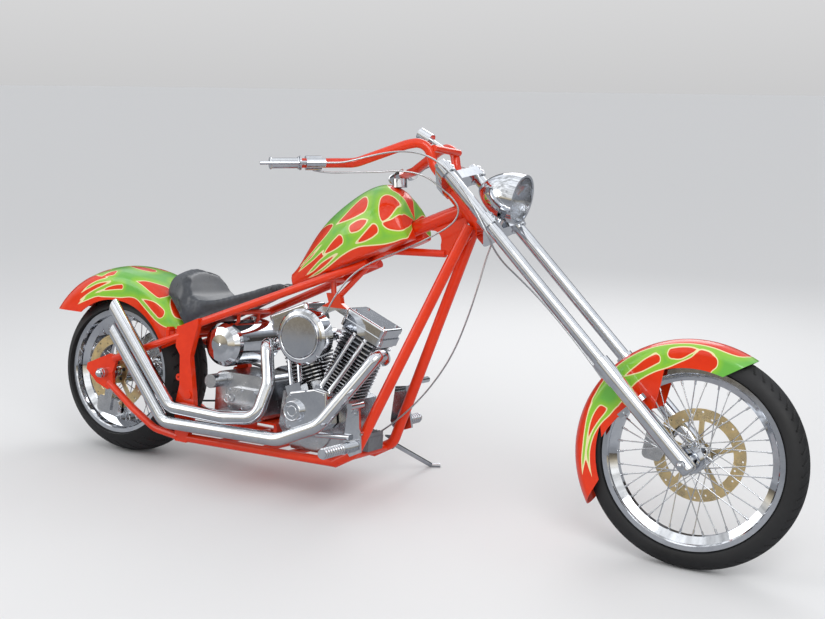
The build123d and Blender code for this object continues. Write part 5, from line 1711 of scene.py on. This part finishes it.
@dataclass
class CableRun:
    """One cable along its route's smooth curve."""

    name: str
    node: str
    route: tuple
    still: Triple
    turning: Triple
    radius: float = 3.0

    def build(self, material: bpy.types.Material) -> None:
        """Builds the line in place and hides the imported cable."""
        line = new_object(self.name, self.mesh())
        line.data.materials.append(material)
        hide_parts(self.node)
        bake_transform(line)
        LOG.info("%s: %d faces", self.name, len(line.data.polygons))

    def mesh(self) -> bpy.types.Mesh:
        """The cable's tube about the smooth line of its route."""
        curve = bpy.data.curves.new(self.name, "CURVE")
        curve.dimensions = "3D"
        spline = curve.splines.new("NURBS")
        spline.points.add(len(self.route) - 1)
        for point, place in zip(spline.points, self.route):
            point.co = (*placed(place), 1.0)
        spline.order_u = 3
        spline.use_endpoint_u = True
        curve.resolution_u = 8
        curve.bevel_depth = self.radius * MM
        curve.bevel_resolution = 3
        curve.use_fill_caps = True
        carrier = bpy.data.objects.new(self.name + "_line", curve)
        bpy.context.scene.collection.objects.link(carrier)
        bpy.context.view_layer.update()
        graph = bpy.context.evaluated_depsgraph_get()
        mesh = bpy.data.meshes.new_from_object(carrier.evaluated_get(graph))
        bpy.data.objects.remove(carrier)
        tidy_normals(mesh)
        smooth(mesh, 60)
        return mesh


def clutch_route() -> tuple:
    """From the left lever past the headstock and down between the front tubes."""
    at, run, ahead = perch(Side.LEFT)
    inner = at + ahead * 34 - run * 34
    return (
        inner, inner - run * 60, (1142, 200, 1196), (1200, 176, 1206), (1270, 164, 1208), (1336, 160, 1196),
        (1394, 160, 1156), (1440, 158, 1102), (1464, 150, 1042), (1472, 130, 984), (1467, 104, 930), (1460, 84, 872),
        (1450, 73, 806), (1434, 71, 738), (1412, 76, 670), (1386, 85, 604), (1356, 91, 538), (1320, 91, 474),
        (1278, 87, 410), (1230, 82, 350), (1178, 78, 296), (1126, 76, 250), (1078, 75, 216), (1038, 75, 200),
    )


def throttle_route() -> tuple:
    """From the right grip's clamp under the tank to the carburettor."""
    at, run, _ = perch(Side.RIGHT)
    start = at - Vector((0, 0, 23))
    return (
        start, start - run * 40 - Vector((0, 0, 10)), (1102, -232, 1146), (1156, -186, 1152), (1212, -148, 1162),
        (1268, -114, 1162), (1314, -90, 1146), (1354, -78, 1116), (1397, -72, 1086), (1424, -68, 1050),
        (1412, -66, 1012), (1376, -64, 982), (1330, -62, 956), (1280, -60, 930), (1226, -60, 904), (1172, -62, 880),
        (1120, -70, 856), (1070, -82, 826), (1026, -92, 784), (990, -100, 734), (962, -104, 680), (938, -104, 630),
        (924, -104, 598),
    )


def dress_nodes(palette: Palette) -> None:
    """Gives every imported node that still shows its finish."""
    finishes = {
        palette.orange: (
            "neck_and_backbone downtubes rear_posts bottom_rails seat_rails cross_tubes rear_struts handlebar"
        ),
        palette.chrome: (
            "oil_tank gas_cap rocker_boxes cam_cover pushrod_tubes air_cleaner carburettor primary_cover "
            "exhaust_pipes foot_controls rear_axle side_stand triple_trees fork_tubes sliders bar_gauge "
            "grips bar_controls headlight front_axle front_rim rear_rim front_hub_spokes rear_hub_spokes"
        ),
        palette.alloy: "crankcase transmission rear_caliper front_caliper rear_pulley",
        palette.steel: "stand_bracket",
        palette.stays: "engine_top_mount",
        palette.fins: "cylinders",
        palette.rubber: "drive_belt",
        palette.grey: "regulator",
        palette.braid: "clutch_cable throttle_cable brake_hose",
        palette.glass: "headlight_lens",
        palette.front_disc: "front_disc",
        palette.rear_disc: "rear_disc",
        palette.flame: "tank rear_fender front_fender",
        palette.leather: "seat",
        palette.tyre: "front_tyre rear_tyre",
    }
    for material, names in finishes.items():
        for name in names.split():
            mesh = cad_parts[name].data
            mesh.materials.clear()
            mesh.materials.append(material)


# Studio


@dataclass
class Studio:
    """Pale floor, soft light and the photograph's camera."""

    eye: Triple = (2000.346, -3442.105, 1447.715)
    ahead: Triple = (-0.478218, 0.856959, -0.192168)
    right: Triple = (0.872084, 0.489223, 0.011436)
    up: Triple = (-0.103814, 0.162118, 0.981295)
    focal_px: float = 1138.14
    width_px: float = 825.0
    sensor_mm: float = 36.0

    def build(self) -> None:
        """Builds the floor, world, lamps and camera."""
        self.floor()
        self.world()
        self.lamps()
        self.camera()

    def floor(self) -> None:
        """A wide pale floor, painted darker where glossy surfaces reflect it."""
        mesh = bpy.data.meshes.new("studio_floor")
        size = 400.0
        corners = [(-size, -size, 0), (size, -size, 0), (size, size, 0), (-size, size, 0)]
        mesh.from_pydata(corners, [], [(0, 1, 2, 3)])
        plane = new_object("studio_floor", mesh)
        material, shader, node = principled("pale_floor", {"Roughness": 0.95, "Specular IOR Level": 0.1})
        # Painted reflection: glossy rays see the floor at 0.4 grey instead of 0.8, so chrome and paint show darker
        # ground.
        path = shader.add("LightPath").outputs["Is Glossy Ray"]
        shader.link(shader.mix(path, (0.8, 0.8, 0.8, 1.0), (0.4, 0.41, 0.43, 1.0)), node.inputs["Base Color"])
        mesh.materials.append(material)

    def world(self) -> None:
        """White behind the object, plain light on it, and a soft gradient in its reflections."""
        world = bpy.data.worlds.new("studio")
        bpy.context.scene.world = world
        world.use_nodes = True
        shader = Shader(world.node_tree)
        node = world.node_tree.nodes["Background"]
        direction = shader.add("SeparateXYZ")
        shader.link(shader.add("TexCoord").outputs["Generated"], direction.inputs[0])
        height = shader.add("MapRange", {"From Min": -1.0, "From Max": 1.0})
        shader.link(direction.outputs[2], height.inputs["Value"])
        hedge = shader.ramp(height.outputs[0], [
            (0.0, (0.2, 0.2, 0.21, 1)), (0.5, (0.05, 0.048, 0.045, 1)), (0.6, (0.1, 0.09, 0.085, 1)),
            (0.68, (0.5, 0.53, 0.58, 1)), (0.78, (1.0, 1.04, 1.1, 1)), (1.0, (1.25, 1.28, 1.32, 1)),
        ])
        yard = shader.ramp(height.outputs[0], [
            (0.0, (0.2, 0.2, 0.21, 1)), (0.49, (0.16, 0.16, 0.165, 1)), (0.505, (0.3, 0.26, 0.2, 1)),
            (0.54, (0.8, 0.7, 0.52, 1)), (0.6, (1.1, 1.1, 1.08, 1)), (1.0, (1.25, 1.28, 1.32, 1)),
        ])
        near = shader.add("MapRange", {"From Min": 0.25, "From Max": -0.25})
        shader.link(direction.outputs[1], near.inputs["Value"])
        sky = shader.mix(near.outputs[0], hedge, yard)
        drift = shader.add("TexNoise", {"Scale": 6.0, "Detail": 4.0, "Roughness": 0.6})
        shader.link(shader.add("TexCoord").outputs["Generated"], drift.inputs["Vector"])
        patchy = shader.add("MapRange", {"From Min": 0.38, "From Max": 0.62, "To Min": 0.5, "To Max": 1.25})
        shader.link(drift.outputs[0], patchy.inputs["Value"])
        mirrored = shader.add("VectorMath", operation="SCALE")
        shader.link(sky, mirrored.inputs[0])
        shader.link(patchy.outputs[0], mirrored.inputs["Scale"])
        path = shader.add("LightPath")
        seen = shader.math("MAXIMUM", path.outputs["Is Glossy Ray"], path.outputs["Is Transmission Ray"])
        lit = shader.mix(seen, (0.74, 0.75, 0.77, 1), mirrored.outputs[0])
        backdrop = shader.ramp(height.outputs[0], [
            (0.5, (0.6, 0.6, 0.605, 1)), (0.56, (0.72, 0.72, 0.725, 1)), (0.7, (0.86, 0.86, 0.86, 1)),
        ])
        colour = shader.mix(path.outputs["Is Camera Ray"], lit, backdrop)
        shader.link(colour, node.inputs["Color"])
        node.inputs["Strength"].default_value = 1.0

    def lamps(self) -> None:
        """Three soft lamps: name, place, size and power."""
        rows = [
            ("key_light", (2.6, -2.6, 3.4), 2.4, 60.0),
            ("fill_light", (-2.8, -2.4, 2.2), 2.2, 22.0),
            ("back_light", (-0.4, 3.2, 3.0), 2.6, 40.0),
        ]
        for name, place, size, power in rows:
            lamp = bpy.data.lights.new(name, "AREA")
            lamp.shape = "DISK"
            lamp.size = size
            lamp.energy = power
            holder = bpy.data.objects.new(name, lamp)
            holder.location = place
            holder.rotation_euler = (Vector((0, 0, 0.5)) - Vector(place)).to_track_quat("-Z", "Y").to_euler()
            bpy.context.scene.collection.objects.link(holder)

    def camera(self) -> None:
        """The camera that the photograph was taken with, as found from its ground contacts and wheels."""
        data = bpy.data.cameras.new("photo_camera")
        data.sensor_fit = "HORIZONTAL"
        data.sensor_width = self.sensor_mm
        data.lens = self.focal_px / self.width_px * self.sensor_mm
        holder = bpy.data.objects.new("photo_camera", data)
        turn = Matrix((self.right, self.up, tuple(-c for c in self.ahead))).transposed()
        holder.matrix_world = Matrix.Translation(Vector(self.eye) * MM) @ turn.to_4x4()
        bpy.context.scene.collection.objects.link(holder)
        bpy.context.scene.camera = holder


def main() -> None:
    """Builds the studio and dresses the machine, piece by piece."""
    bpy.context.scene.view_settings.view_transform = "Standard"
    Studio().build()
    palette, trees = Palette(), Trees()
    dress_nodes(palette)
    BodyWork(palette).build()
    Saddle(palette).build()
    front = TyreForm(FRONT_AXLE, FRONT_AXLE[2], 45.3, 280.5, 37.6, 3.5, 360, 60)
    rear = TyreForm(REAR_AXLE, REAR_AXLE[2], 125.6, 242.5, 103.5, 4.5, 360, 36)
    wheels = (
        ("front", Body.FRONT_WHEEL, front, 238.0, 8.0, 35.0, 32.0, 64.5, Side.LEFT, 32.0),
        ("rear", Body.REAR_WHEEL, rear, 200.0, 30.0, 45.0, 62.0, -108.5, Side.RIGHT, 34.0),
    )
    for row in wheels:
        Wheel(palette, trees, *row).build()
    Hardware(palette, trees).build()
    HandControls(palette, trees).build()
    cables = (
        CableRun("clutch_line", "clutch_cable", clutch_route(), (1440, 71, 760), (1330, 160, 1190)),
        CableRun("throttle_line", "throttle_cable", throttle_route(), (1280, -60, 930), (1314, -90, 1146)),
    )
    for cable in cables:
        cable.build(palette.braid)


if __name__ == "__main__":
    main()
